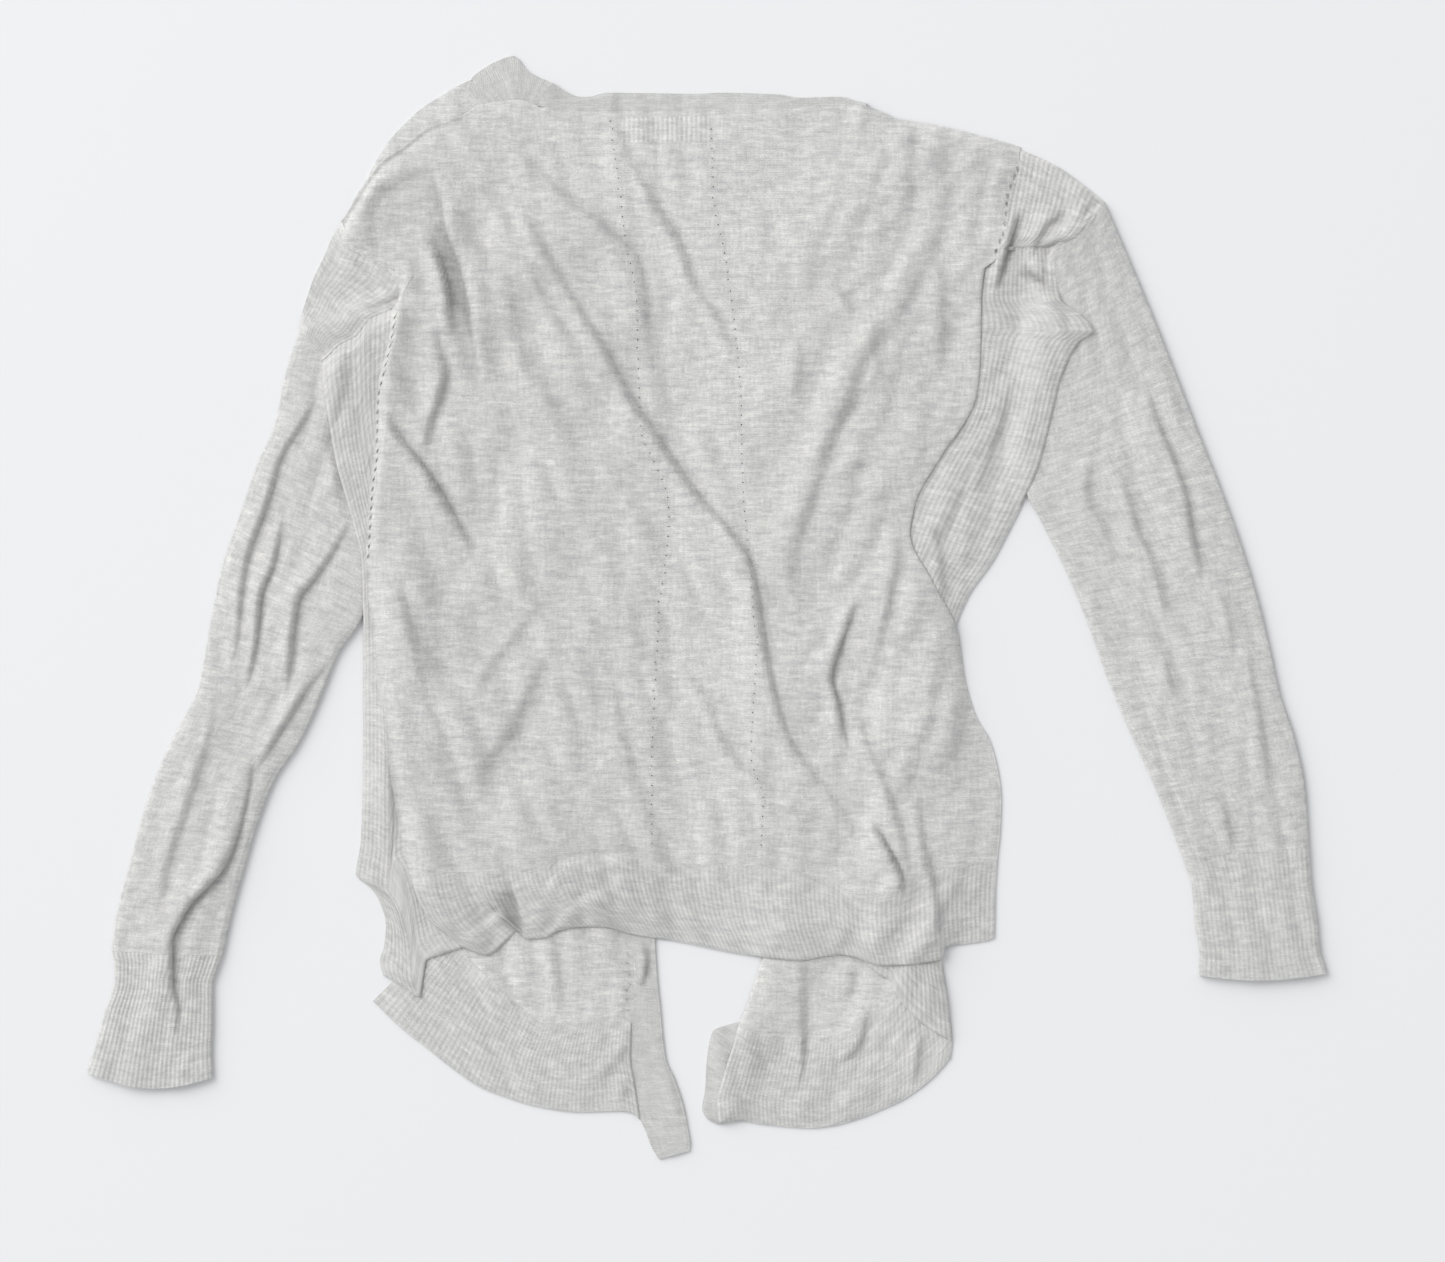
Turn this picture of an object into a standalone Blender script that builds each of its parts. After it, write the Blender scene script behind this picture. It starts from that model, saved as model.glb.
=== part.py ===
"""A fine-gauge knitted cardigan lying flat with its back up.

The fronts, their bands and the flattened sleeves lie on the floor. The ribbed side panels and
shoulder panels lie over them, and the back with its hem and neckband lies over all of these.
Tables are in millimetres, seen from above, with the neck towards +Y. The model is in metres.
"""

import bpy
import bmesh
import numpy as np

MM = 0.001

# Walls, ribs and clearances
JERSEY_WALL = 1.2
RIB_WALL = 1.3
BAND_WALL = 1.6
RIB_PITCH = 3.2
RIB_RISE = 0.5
SEAM_GAP = 0.4
LAYER_GAP = 0.45
TUBE_HOLLOW = 0.5

# The grid that keeps the height of what is already laid
FLOOR_HALF_X = 440.0
FLOOR_HALF_Y = 400.0
FLOOR_CELL = 4.0
SMOOTH_REACH = 12.0

YARN_COLOUR = (0.60, 0.60, 0.575, 1.0)
YARN_ROUGHNESS = 0.95

# Outlines of the sheets: top and bottom edges run in +X, left and right edges run down
BACK = {
    "top": ((-243.3, 257.0), (-231.3, 277.0), (-218.0, 296.3), (-202.7, 307.0), (-184.7, 320.3),
            (-164.7, 327.0), (-151.3, 335.0), (-124.7, 338.3), (-111.3, 333.7), (-98.0, 331.7),
            (-71.3, 330.3), (-4.7, 330.3), (48.7, 332.3), (102.0, 334.3), (115.3, 331.0),
            (125.3, 326.3), (155.3, 321.0), (195.3, 311.0), (208.7, 307.0)),
    "bottom": ((-196.7, -180.3), (-164.7, -176.3), (-138.0, -175.0), (-108.0, -171.7),
               (-98.0, -163.7), (-71.3, -163.0), (-44.7, -167.0), (-4.7, -171.0), (35.3, -172.3),
               (82.0, -181.7), (102.0, -193.0), (128.7, -188.3), (152.0, -175.0), (193.3, -168.3)),
    "left": ((-243.3, 257.0), (-242.0, 244.3), (-235.3, 239.0), (-224.7, 235.0), (-211.3, 223.7),
             (-195.3, 217.7), (-201.3, 205.0), (-206.7, 195.7), (-211.3, 171.0), (-217.3, 145.0),
             (-219.3, 101.7), (-222.7, 76.3), (-224.7, 43.0), (-226.0, 11.7), (-223.3, -8.3),
             (-218.0, -61.7), (-210.0, -115.0), (-199.3, -171.7), (-196.7, -180.3)),
    "right": ((208.7, 307.0), (206.0, 288.3), (202.0, 281.0), (199.3, 265.7), (195.3, 243.7),
              (190.0, 231.7), (184.7, 225.0), (182.7, 205.0), (182.0, 165.0), (178.7, 138.3),
              (174.7, 128.3), (156.7, 101.7), (138.0, 67.0), (135.3, 49.0), (149.3, 18.3),
              (166.7, -15.7), (172.0, -48.3), (178.7, -71.7), (188.7, -89.7), (195.3, -118.3),
              (196.0, -128.3), (195.3, -148.3), (193.3, -168.3)),
}
BACK_HEM = {
    "bottom": ((-162.7, -226.3), (-146.7, -231.7), (-134.7, -223.0), (-125.3, -215.0),
               (-120.0, -221.0), (-108.0, -220.3), (-98.0, -215.0), (-84.7, -213.0),
               (-68.0, -213.0), (-51.3, -217.7), (-18.0, -223.0), (22.0, -231.0), (48.7, -234.3),
               (62.0, -235.0), (88.7, -231.7), (118.7, -238.3), (156.7, -234.3), (158.7, -227.0),
               (172.0, -224.3), (185.3, -222.3), (191.3, -220.3)),
    "left": ((-196.5, -180.7), (-194.7, -188.3), (-188.0, -203.0), (-183.3, -209.7),
             (-174.7, -216.3), (-162.7, -226.3)),
    "right": ((193.3, -168.7), (192.0, -188.3), (191.3, -220.3)),
}
NECK_BAND_TOP = ((-103.3, 349.7), (-98.0, 346.3), (-91.3, 342.3), (-84.7, 340.3), (-78.0, 340.3),
                 (-71.3, 342.3), (-64.7, 343.0), (-4.7, 342.3), (8.7, 343.0), (48.7, 341.7),
                 (62.0, 339.7), (88.7, 340.3), (102.0, 336.9), (106.0, 336.3))
LEFT_SHOULDER = {
    "top": ((-243.3, 257.0), (-238.0, 247.0), (-231.0, 243.5), (-221.0, 239.0), (-208.0, 228.5),
            (-190.0, 221.0)),
    "bottom": ((-271.3, 181.7), (-256.7, 163.7)),
    "left": ((-243.3, 257.0), (-250.7, 245.0), (-254.7, 235.0), (-258.0, 228.3), (-262.7, 218.3),
             (-266.0, 208.3), (-270.0, 195.0), (-271.3, 181.7)),
    "right": ((-190.0, 221.0), (-197.0, 206.0), (-211.3, 198.3), (-224.7, 191.7), (-234.7, 179.7),
              (-244.7, 175.0), (-251.3, 168.3), (-256.7, 163.7)),
}
RIGHT_SHOULDER = {
    "top": ((202.5, 306.5), (222.0, 301.0), (235.3, 293.7), (248.7, 283.7), (265.3, 269.7)),
    "bottom": ((184.0, 230.3), (206.0, 233.0), (228.7, 239.7)),
    "left": ((202.5, 306.5), (200.0, 288.0), (196.0, 265.7), (192.0, 248.0), (184.0, 230.3)),
    "right": ((265.3, 269.7), (262.0, 265.0), (256.7, 255.0), (248.7, 246.3), (238.7, 243.0),
              (228.7, 239.7)),
}
LEFT_SIDE = {
    "top": ((-256.7, 166.3), (-244.7, 178.0), (-234.7, 183.0), (-224.7, 195.0), (-211.3, 201.5),
            (-199.3, 210.3)),
    "bottom": ((-216.0, -245.0), (-201.3, -253.0), (-191.3, -259.7), (-189.3, -248.3),
               (-186.7, -235.0), (-178.0, -231.7), (-155.3, -224.3)),
    "left": ((-256.7, 166.3), (-256.0, 151.7), (-254.0, 138.3), (-247.3, 98.3), (-240.0, 71.7),
             (-232.7, 45.0), (-230.0, 31.7), (-229.3, 5.0), (-229.3, -101.7), (-230.7, -155.0),
             (-234.0, -178.3), (-224.7, -186.3), (-218.7, -195.0), (-214.0, -211.7),
             (-215.3, -226.3), (-218.0, -235.0), (-216.0, -245.0)),
    "right": ((-199.3, 210.3), (-200.7, 191.7), (-204.7, 145.0), (-203.3, 101.7), (-198.0, 76.3),
              (-191.3, 43.0), (-188.0, 11.7), (-186.0, -21.7), (-184.7, -75.0), (-183.3, -128.3),
              (-179.3, -178.3), (-170.0, -205.0), (-155.3, -224.3)),
}
RIGHT_SIDE = {
    "top": ((182.0, 238.0), (230.7, 241.0)),
    "bottom": ((100.7, -231.7), (115.3, -245.0), (122.0, -248.3), (126.7, -258.3),
               (135.3, -269.7), (145.3, -278.3), (155.3, -285.0), (163.3, -288.3)),
    "left": ((182.0, 238.0), (176.0, 205.0), (174.0, 165.0), (170.7, 138.3), (165.3, 125.0),
             (148.7, 98.3), (134.0, 71.7), (126.7, 49.0), (118.7, 5.0), (115.3, -61.7),
             (112.0, -128.3), (106.0, -195.0), (100.7, -231.7)),
    "right": ((230.7, 241.0), (233.3, 218.3), (235.3, 205.0), (248.7, 195.0), (255.3, 188.3),
              (258.0, 183.0), (248.7, 177.7), (240.7, 165.0), (235.3, 151.7), (228.7, 125.0),
              (222.0, 98.3), (211.3, 71.7), (200.0, 49.0), (190.7, 31.7), (172.7, 5.0),
              (166.0, -15.0), (165.3, -48.3), (170.0, -88.3), (174.0, -141.7), (170.0, -181.7),
              (160.7, -215.0), (156.7, -235.0), (160.7, -261.7), (163.3, -288.3)),
}
LEFT_FRONT = {
    "top": ((-241.3, 255.7), (-236.0, 270.3), (-227.3, 284.3), (-220.0, 298.3), (-210.7, 312.3),
            (-201.3, 322.3), (-191.3, 331.7), (-178.0, 340.3), (-164.7, 348.3), (-156.7, 351.7)),
    "bottom": ((-179.3, -219.0), (-161.3, -231.7), (-144.7, -247.0), (-124.7, -265.0),
               (-108.0, -277.0), (-91.3, -276.3), (-71.3, -273.7), (-50.7, -272.3)),
    "left": ((-241.3, 255.7), (-236.7, 235.0), (-218.0, 218.0), (-196.7, 208.0), (-196.7, 178.3),
             (-202.7, 145.0), (-209.3, 105.0), (-213.3, 65.0), (-217.3, 25.0), (-220.7, -8.3),
             (-223.3, -61.7), (-223.3, -128.3), (-214.7, -168.3), (-198.0, -198.3),
             (-179.3, -219.0)),
    "right": ((-156.7, 351.7), (-156.0, 338.0), (-150.0, 321.0), (-139.3, 301.7), (-123.3, 278.3),
              (-103.3, 256.3), (-77.3, 239.0), (-67.3, 223.0), (-62.7, 205.0), (-56.7, 149.7),
              (-56.7, 5.0), (-57.3, -95.0), (-56.0, -175.0), (-52.4, -219.7), (-48.4, -235.0),
              (-46.4, -253.7), (-47.0, -267.0), (-50.7, -272.3)),
}
LEFT_FRONT_HEM = {
    "bottom": ((-222.7, -262.3), (-204.7, -279.7), (-191.3, -290.3), (-164.7, -311.0),
               (-151.3, -319.7), (-138.0, -325.0), (-111.3, -333.0), (-84.7, -336.3),
               (-58.0, -335.7), (-50.0, -337.0), (-44.7, -341.7)),
    "left": ((-179.5, -219.4), (-222.7, -262.3)),
    "right": ((-50.7, -272.7), (-50.5, -281.7), (-51.0, -301.7), (-48.7, -315.0),
              (-44.7, -341.7)),
}
RIGHT_FRONT = {
    "top": ((111.3, 323.7), (148.7, 318.3), (182.0, 309.7), (198.7, 303.7)),
    "bottom": ((20.7, -279.0), (35.3, -283.7), (55.3, -286.3), (75.3, -286.3), (95.3, -281.7),
               (108.7, -271.7), (122.0, -261.7), (132.0, -248.3), (145.3, -236.3),
               (155.3, -227.0)),
    "left": ((111.3, 323.7), (93.0, 288.0), (73.0, 237.0), (58.7, 175.0), (52.5, 106.0),
             (53.0, 5.0), (55.0, -95.0), (57.0, -165.0), (48.0, -205.0), (37.3, -233.0),
             (30.0, -255.0), (25.3, -268.3), (20.7, -279.0)),
    "right": ((198.7, 303.7), (197.3, 271.7), (195.3, 234.3), (195.3, 158.3), (185.3, 111.7),
              (178.7, 77.0), (172.0, 31.7), (160.7, -13.7), (160.7, -61.7), (165.3, -115.0),
              (166.7, -168.3), (162.0, -208.3), (155.3, -227.0)),
}
RIGHT_FRONT_HEM = {
    "bottom": ((8.0, -343.7), (22.0, -342.3), (35.3, -344.3), (55.3, -346.3), (68.7, -347.0),
               (82.0, -345.7), (102.0, -340.3), (115.3, -335.0), (128.7, -329.0),
               (142.0, -320.3), (152.0, -311.7), (162.0, -300.3)),
    "left": ((20.7, -279.4), (17.3, -291.7), (14.0, -301.7), (10.0, -315.0), (6.7, -328.3),
             (8.0, -343.7)),
    "right": ((155.3, -227.4), (158.7, -248.3), (160.7, -261.7), (163.3, -288.3),
              (162.0, -300.3)),
}

# Strips and tubes as sections down their length: one edge x, y, then the other edge x, y
LEFT_BAND = (
    (-105.5, 351.5, -113.3, 337.7),
    (-111.3, 353.0, -118.0, 336.0),
    (-120.0, 357.7, -123.0, 334.0),
    (-128.7, 367.7, -126.0, 332.0),
    (-138.0, 365.0, -129.0, 331.0),
    (-148.0, 359.7, -131.0, 329.0),
    (-158.0, 351.0, -131.5, 326.0),
    (-160.0, 338.0, -130.5, 323.0),
    (-154.0, 320.0, -127.0, 318.0),
    (-143.0, 299.0, -121.0, 307.7),
    (-127.0, 275.7, -105.3, 285.0),
    (-107.0, 254.0, -85.3, 263.7),
    (-80.0, 236.0, -60.0, 250.3),
    (-70.5, 221.0, -46.7, 236.3),
    (-67.0, 204.0, -40.7, 213.0),
    (-65.0, 180.0, -38.0, 188.0),
    (-60.5, 150.0, -33.5, 155.0),
    (-60.5, 5.0, -34.0, 5.0),
    (-61.0, -95.0, -34.7, -95.0),
    (-60.0, -170.0, -35.0, -170.0),
    (-56.5, -219.7, -34.7, -221.7),
    (-52.5, -235.0, -34.0, -236.3),
    (-50.5, -253.7, -32.7, -253.7),
    (-52.0, -267.0, -31.3, -266.0),
    (-54.0, -281.7, -30.0, -281.7),
    (-54.5, -301.7, -27.3, -301.7),
    (-52.5, -315.0, -22.0, -313.7),
    (-49.0, -331.7, -16.0, -331.7),
    (-41.3, -348.3, -12.7, -348.3),
    (-36.0, -361.7, -11.3, -358.3),
    (-32.0, -367.7, -12.0, -362.3),
)
RIGHT_BAND = (
    (92.7, 330.3, 119.3, 329.0),
    (72.0, 285.0, 97.0, 292.0),
    (52.0, 231.7, 77.0, 239.5),
    (36.7, 171.7, 62.7, 177.0),
    (30.0, 105.0, 56.5, 106.5),
    (30.7, 5.0, 57.0, 5.0),
    (32.7, -95.0, 59.0, -95.0),
    (35.3, -175.0, 61.7, -176.0),
    (38.7, -221.7, 65.0, -223.0),
    (40.7, -233.0, 67.3, -236.3),
    (32.0, -261.7, 58.0, -267.0),
    (24.7, -275.0, 48.7, -284.3),
    (14.0, -278.3, 39.3, -293.7),
    (4.0, -282.3, 32.0, -300.3),
    (0.7, -295.0, 28.7, -308.3),
    (-0.7, -308.3, 26.0, -316.3),
    (-1.3, -321.7, 24.0, -325.7),
    (-3.3, -333.7, 22.7, -335.0),
    (-0.7, -340.3, 20.7, -340.3),
    (6.7, -344.3, 17.3, -341.7),
)
LEFT_SLEEVE = (
    (-271.3, 185.0, -201.3, 203.0),
    (-280.7, 157.0, -208.0, 145.0),
    (-288.0, 121.7, -214.7, 105.0),
    (-300.0, 95.0, -219.3, 65.0),
    (-311.3, 61.7, -223.3, 25.0),
    (-323.3, 27.0, -230.0, -7.0),
    (-331.3, -11.7, -246.0, -31.7),
    (-339.3, -55.0, -258.0, -61.7),
    (-348.7, -73.7, -271.3, -89.7),
    (-362.7, -101.7, -288.0, -115.0),
    (-376.0, -138.3, -299.3, -143.7),
    (-384.7, -171.7, -308.0, -173.0),
    (-392.7, -201.7, -316.7, -205.0),
    (-396.7, -229.0, -322.7, -232.0),
)
LEFT_CUFF = (
    (-395.7, -229.6, -323.7, -232.6),
    (-394.7, -238.0, -326.0, -241.0),
    (-394.7, -247.0, -329.3, -251.7),
    (-401.3, -269.7, -329.3, -275.0),
    (-408.0, -293.7, -330.0, -295.0),
    (-413.3, -309.7, -329.3, -313.0),
)
RIGHT_SLEEVE = (
    (265.3, 269.0, 228.7, 238.3),
    (282.0, 230.3, 222.0, 198.3),
    (298.7, 190.3, 215.3, 151.7),
    (315.3, 148.3, 208.7, 111.7),
    (328.7, 113.7, 212.7, 77.0),
    (342.0, 80.3, 222.0, 58.3),
    (355.3, 43.7, 239.3, 23.7),
    (367.3, 5.0, 254.0, -11.7),
    (375.3, -28.3, 264.7, -41.7),
    (382.0, -58.3, 278.7, -76.3),
    (392.0, -88.3, 292.7, -107.0),
    (398.7, -121.7, 306.0, -138.3),
    (401.3, -160.0, 316.7, -167.0),
)
RIGHT_CUFF = (
    (400.7, -160.8, 318.0, -167.8),
    (402.7, -181.7, 322.7, -185.0),
    (406.7, -208.3, 325.3, -211.7),
    (408.7, -228.3, 328.0, -231.7),
    (413.3, -243.7, 327.3, -245.0),
)
LEFT_CUFF_BOW = 9.0
RIGHT_CUFF_BOW = 4.0

# Largest folds: rise, half width, then the line of the fold's crest
BACK_FOLDS = (
    (5.5, 10.0, ((-101.0, 197.0), (-83.0, 174.0), (-67.3, 151.7), (-46.7, 127.7), (-25.3, 99.0),
                 (-4.7, 72.3), (24.7, 46.3), (30.0, 25.0), (38.0, -17.0), (46.0, -48.3),
                 (58.7, -93.7), (85.3, -125.0), (108.7, -161.7))),
    (4.0, 9.0, ((-187.3, 295.0), (-177.3, 267.7), (-162.0, 219.0), (-154.0, 169.7))),
    (3.5, 9.0, ((-211.3, 128.3), (-178.0, 85.7), (-162.7, 54.3), (-157.3, 27.7))),
    (3.5, 10.0, ((-150.0, 279.7), (-114.7, 223.0), (-83.3, 173.7))),
    (3.5, 10.0, ((98.7, 125.0), (85.3, 75.0), (74.7, 49.0), (56.0, -6.3))),
    (4.0, 9.0, ((83.0, -45.0), (92.0, -83.0), (116.7, -150.0), (130.0, -185.0))),
    (3.0, 10.0, ((-84.0, 270.0), (-57.0, 230.0), (-42.0, 200.0), (-33.0, 160.0))),
    (3.5, 9.0, ((-112.0, -225.0), (-84.7, -200.0), (-58.0, -178.3), (-30.0, -165.0))),
    (3.0, 10.0, ((141.0, -150.0), (148.0, -185.0), (153.0, -230.0))),
)
LEFT_SLEEVE_FOLDS = (
    (5.0, 9.0, ((-271.3, 118.3), (-289.3, 78.3), (-304.7, 35.0), (-311.0, -18.3),
                (-319.0, -75.0))),
    (5.5, 9.0, ((-299.3, -88.3), (-306.7, -135.0), (-321.3, -173.0), (-345.0, -200.0),
                (-356.0, -225.0))),
    (4.0, 8.0, ((-251.3, 21.7), (-273.0, -1.0), (-278.0, -61.7))),
)
RIGHT_SLEEVE_FOLDS = (
    (5.5, 10.0, ((288.0, 165.0), (302.0, 125.0), (318.7, 78.3), (330.7, 21.7))),
    (4.0, 9.0, ((286.0, -52.0), (305.0, -105.0), (325.0, -150.0))),
    (4.0, 8.0, ((352.0, 5.0), (366.0, -45.0), (376.0, -115.0))),
)


def clear_scene():
    for thing in list(bpy.data.objects):
        bpy.data.objects.remove(thing, do_unlink=True)


def edge_points(table, axis, shares):
    """Points at even shares of an edge's run along X (axis 0) or Y (axis 1)."""
    points = np.array(table)
    run = points[:, axis]
    wanted = run[0] + shares * (run[-1] - run[0])
    order = np.argsort(run, kind="stable")
    columns = [np.interp(wanted, run[order], points[order, part]) for part in (0, 1)]
    return np.stack(columns, axis=-1)


def fill_outline(outline, across, down):
    """Rows of points that fill the space inside four edges."""
    top = edge_points(outline["top"], 0, across)[None]
    bottom = edge_points(outline["bottom"], 0, across)[None]
    left = edge_points(outline["left"], 1, down)[:, None]
    right = edge_points(outline["right"], 1, down)[:, None]
    s = across[None, :, None]
    t = down[:, None, None]
    rows = (1 - t) * top + t * bottom
    left_shift = left - rows[:, :1]
    right_shift = right - rows[:, -1:]
    return rows + (1 - s) * left_shift + s * right_shift


def even(count):
    return np.linspace(0.0, 1.0, count + 1)


def section_rows(sections, rows_between):
    """A strip's two edges, with rows added between the sections."""
    table = np.array(sections)
    stations = np.linspace(0, len(table) - 1, (len(table) - 1) * rows_between + 1)
    known = np.arange(len(table))
    return np.stack([np.interp(stations, known, table[:, k]) for k in range(4)], axis=-1)


def fill_strip(sections, columns, rows_between=1):
    edges = section_rows(sections, rows_between)
    share = even(columns)[None, :, None]
    return edges[:, None, :2] * (1 - share) + edges[:, None, 2:] * share


def fold_height(plan, folds):
    """Height that the folds add over a set of points, fading out at each fold's ends."""
    height = np.zeros(plan.shape[:-1])
    for rise, half_width, line in folds:
        route = np.array(line)
        lengths = np.linalg.norm(np.diff(route, axis=0), axis=1)
        starts = np.concatenate(([0.0], np.cumsum(lengths)))
        nearest = np.full(height.shape, np.inf)
        along = np.zeros(height.shape)
        for k, length in enumerate(lengths):
            direction = (route[k + 1] - route[k]) / length
            offset = plan - route[k]
            reach = np.clip(offset @ direction, 0.0, length)
            gap = np.linalg.norm(offset - reach[..., None] * direction, axis=-1)
            closer = gap < nearest
            nearest = np.where(closer, gap, nearest)
            along = np.where(closer, starts[k] + reach, along)
        fade = np.sin(np.pi * np.clip(along / starts[-1], 0.0, 1.0)) ** 0.5
        height += rise * fade * np.exp(-(nearest / half_width) ** 2)
    return height


class Pile:
    """Heights of the cloth already laid, kept on an even grid over the floor."""

    def __init__(self):
        rows = int(2 * FLOOR_HALF_Y / FLOOR_CELL) + 1
        columns = int(2 * FLOOR_HALF_X / FLOOR_CELL) + 1
        self.height = np.zeros((rows, columns))

    def cells(self, plan):
        column = (plan[..., 0] + FLOOR_HALF_X) / FLOOR_CELL
        row = (plan[..., 1] + FLOOR_HALF_Y) / FLOOR_CELL
        return row, column

    def add(self, surface):
        """Lay a surface, given as rows of x, y, z, on the pile."""
        for axis in (0, 1):
            steps = np.linalg.norm(np.diff(surface[..., :2], axis=axis), axis=-1)
            parts = int(np.ceil(steps.max() / (FLOOR_CELL / 2)))
            count = surface.shape[axis]
            stations = np.linspace(0, count - 1, (count - 1) * parts + 1)
            low = np.minimum(stations.astype(int), count - 2)
            share = (stations - low).reshape((-1, 1, 1) if axis == 0 else (1, -1, 1))
            first = np.take(surface, low, axis=axis)
            second = np.take(surface, low + 1, axis=axis)
            surface = first * (1 - share) + second * share
        row, column = self.cells(surface)
        places = (np.rint(row).astype(int), np.rint(column).astype(int))
        np.maximum.at(self.height, places, surface[..., 2])

    def spread(self, field, reach, combine):
        cells = int(np.ceil(reach / FLOOR_CELL))
        shifts = [(i, j) for i in range(-cells, cells + 1) for j in range(-cells, cells + 1)
                  if i * i + j * j <= cells * cells]
        return combine([np.roll(field, shift, axis=(0, 1)) for shift in shifts], axis=0)

    def rest(self, plan, reach):
        """Height at which a sheet with cells up to reach clears all that lies beneath it."""
        raised = self.spread(self.height, reach + SMOOTH_REACH, np.max)
        smooth = self.spread(raised, SMOOTH_REACH, np.mean)
        row, column = self.cells(plan)
        low_row = row.astype(int)
        low_column = column.astype(int)
        u = row - low_row
        v = column - low_column
        near = smooth[low_row, low_column] * (1 - v) + smooth[low_row, low_column + 1] * v
        far = smooth[low_row + 1, low_column] * (1 - v) + smooth[low_row + 1, low_column + 1] * v
        height = near * (1 - u) + far * u
        return height + np.clip(height / 1.0, 0.0, 1.0) * LAYER_GAP


def yarn_material(name, shade=1.0):
    material = bpy.data.materials.new(name + "_yarn")
    material.use_nodes = True
    shader = material.node_tree.nodes["Principled BSDF"]
    colour = [part * shade for part in YARN_COLOUR[:3]] + [1.0]
    shader.inputs["Base Color"].default_value = colour
    shader.inputs["Roughness"].default_value = YARN_ROUGHNESS
    shader.inputs["Metallic"].default_value = 0.0
    return material


def finish(name, mesh_data, smooth):
    bmesh.ops.recalc_face_normals(mesh_data, faces=mesh_data.faces)
    mesh = bpy.data.meshes.new(name)
    mesh_data.to_mesh(mesh)
    mesh_data.free()
    if smooth:
        mesh.shade_smooth()
    mesh.materials.append(yarn_material(name))
    piece = bpy.data.objects.new(name, mesh)
    bpy.context.scene.collection.objects.link(piece)
    return piece


def add_grid(mesh_data, points):
    """A grid of faces moved onto rows of points, as rows of vertices."""
    rows, columns = points.shape[:2]
    made = bmesh.ops.create_grid(mesh_data, x_segments=columns - 1, y_segments=rows - 1, size=1.0)
    for vert, point in zip(made["verts"], points.reshape(-1, 3)):
        vert.co = [value * MM for value in point]
    verts = made["verts"]
    return [verts[r * columns:(r + 1) * columns] for r in range(rows)]


def close_rim(mesh_data, outer, inner, step):
    """Faces between an outer edge and an inner edge that has a point for every step-th one."""
    for k in range(len(inner) - 1):
        run = outer[k * step:(k + 1) * step + 1]
        for first, second in zip(run, run[1:]):
            mesh_data.faces.new((first, second, inner[k]))
        mesh_data.faces.new((run[-1], inner[k + 1], inner[k]))


def lay_sheet(name, plan, under, wall, rise=0.0, step=1):
    """A closed sheet of cloth over rows of plan points, with its underside at height under."""
    outer = np.dstack((plan, under + wall + rise))
    inner = np.dstack((plan, under))[:, ::step]
    mesh_data = bmesh.new()
    top = add_grid(mesh_data, outer)
    base = add_grid(mesh_data, inner)
    close_rim(mesh_data, top[0], base[0], step)
    close_rim(mesh_data, top[-1], base[-1], step)
    close_rim(mesh_data, [row[0] for row in top], [row[0] for row in base], 1)
    close_rim(mesh_data, [row[-1] for row in top], [row[-1] for row in base], 1)
    finish(name, mesh_data, smooth=True)
    return outer


def rib_columns(width):
    """Shares across a ribbed piece, two for each rib, and which of them are crests."""
    ribs = 2 * int(round(width / RIB_PITCH / 2))
    crest = np.arange(2 * ribs + 1) % 2
    return even(2 * ribs), crest * RIB_RISE


def lay_ribbed(name, outline, width, rows, pile, reach, folds=(), step=4):
    across, rise = rib_columns(width)
    plan = fill_outline(outline, across, even(rows))
    under = pile.rest(plan, reach) + fold_height(plan, folds)
    return lay_sheet(name, plan, under, RIB_WALL, rise[None], step)


def tube_section(width, lift, wall, inset, top_columns, ridges):
    """Offsets across a flattened tube and heights, inset from its outer face."""
    half = wall + TUBE_HOLLOW / 2
    radius = half - inset
    bend = np.radians((270.0, 210.0, 150.0, 90.0))
    left = [(half + radius * np.cos(a), half + radius * np.sin(a)) for a in bend]
    right = [(width - x, z) for x, z in reversed(left)]
    middle = []
    for k in range(1, top_columns):
        x = half + (width - 2 * half) * k / top_columns
        ridge = ridges * (k % 2) if inset == 0.0 else 0.0
        middle.append((x, half + radius + lift[k] + ridge))
    return left + middle + right


def lay_tube(name, sections, folds, wall, columns, rows_between=2, ridges=0.0, bow=0.0):
    """A flattened tube of cloth that lies on the floor, open at both ends."""
    edges = section_rows(sections, rows_between)
    shares = even(columns)
    spine = edges[:, None, :2] * (1 - shares[None, :, None]) + edges[:, None, 2:] * shares[None, :, None]
    window = np.sin(np.pi * shares) ** 0.5
    lift = fold_height(spine, folds) * window
    hang = np.clip((np.arange(len(edges)) / (len(edges) - 1) - 0.5) * 2.0, 0.0, 1.0) * bow
    mesh_data = bmesh.new()
    shells = []
    top = []
    for inset in (0.0, wall):
        loops = []
        for row, edge in enumerate(edges):
            start, end = edge[:2], edge[2:]
            width = np.linalg.norm(end - start)
            direction = (end - start) / width
            ring = tube_section(width, lift[row], wall, inset, columns, ridges)
            points = []
            for offset, height in ring:
                place = start + direction * offset
                sag = hang[row] * np.sin(np.pi * np.clip(offset / width, 0.0, 1.0))
                points.append((place[0], place[1] - sag, height))
            loops.append([mesh_data.verts.new([value * MM for value in point]) for point in points])
            if inset == 0.0:
                top.append(points[1:-1])
        for first, second in zip(loops, loops[1:]):
            join_loops(mesh_data, first, second)
        shells.append(loops)
    outer, inner = shells
    join_loops(mesh_data, outer[0], inner[0])
    join_loops(mesh_data, outer[-1], inner[-1])
    finish(name, mesh_data, smooth=True)
    return np.array(top)


def join_loops(mesh_data, first, second):
    count = len(first)
    for k in range(count):
        after = (k + 1) % count
        mesh_data.faces.new((first[k], first[after], second[after], second[k]))


def below(points, drop):
    """An edge that follows the last row of a sheet, a seam's gap away."""
    return [(x, y - drop) for x, y in points[:, :2]]


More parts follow.
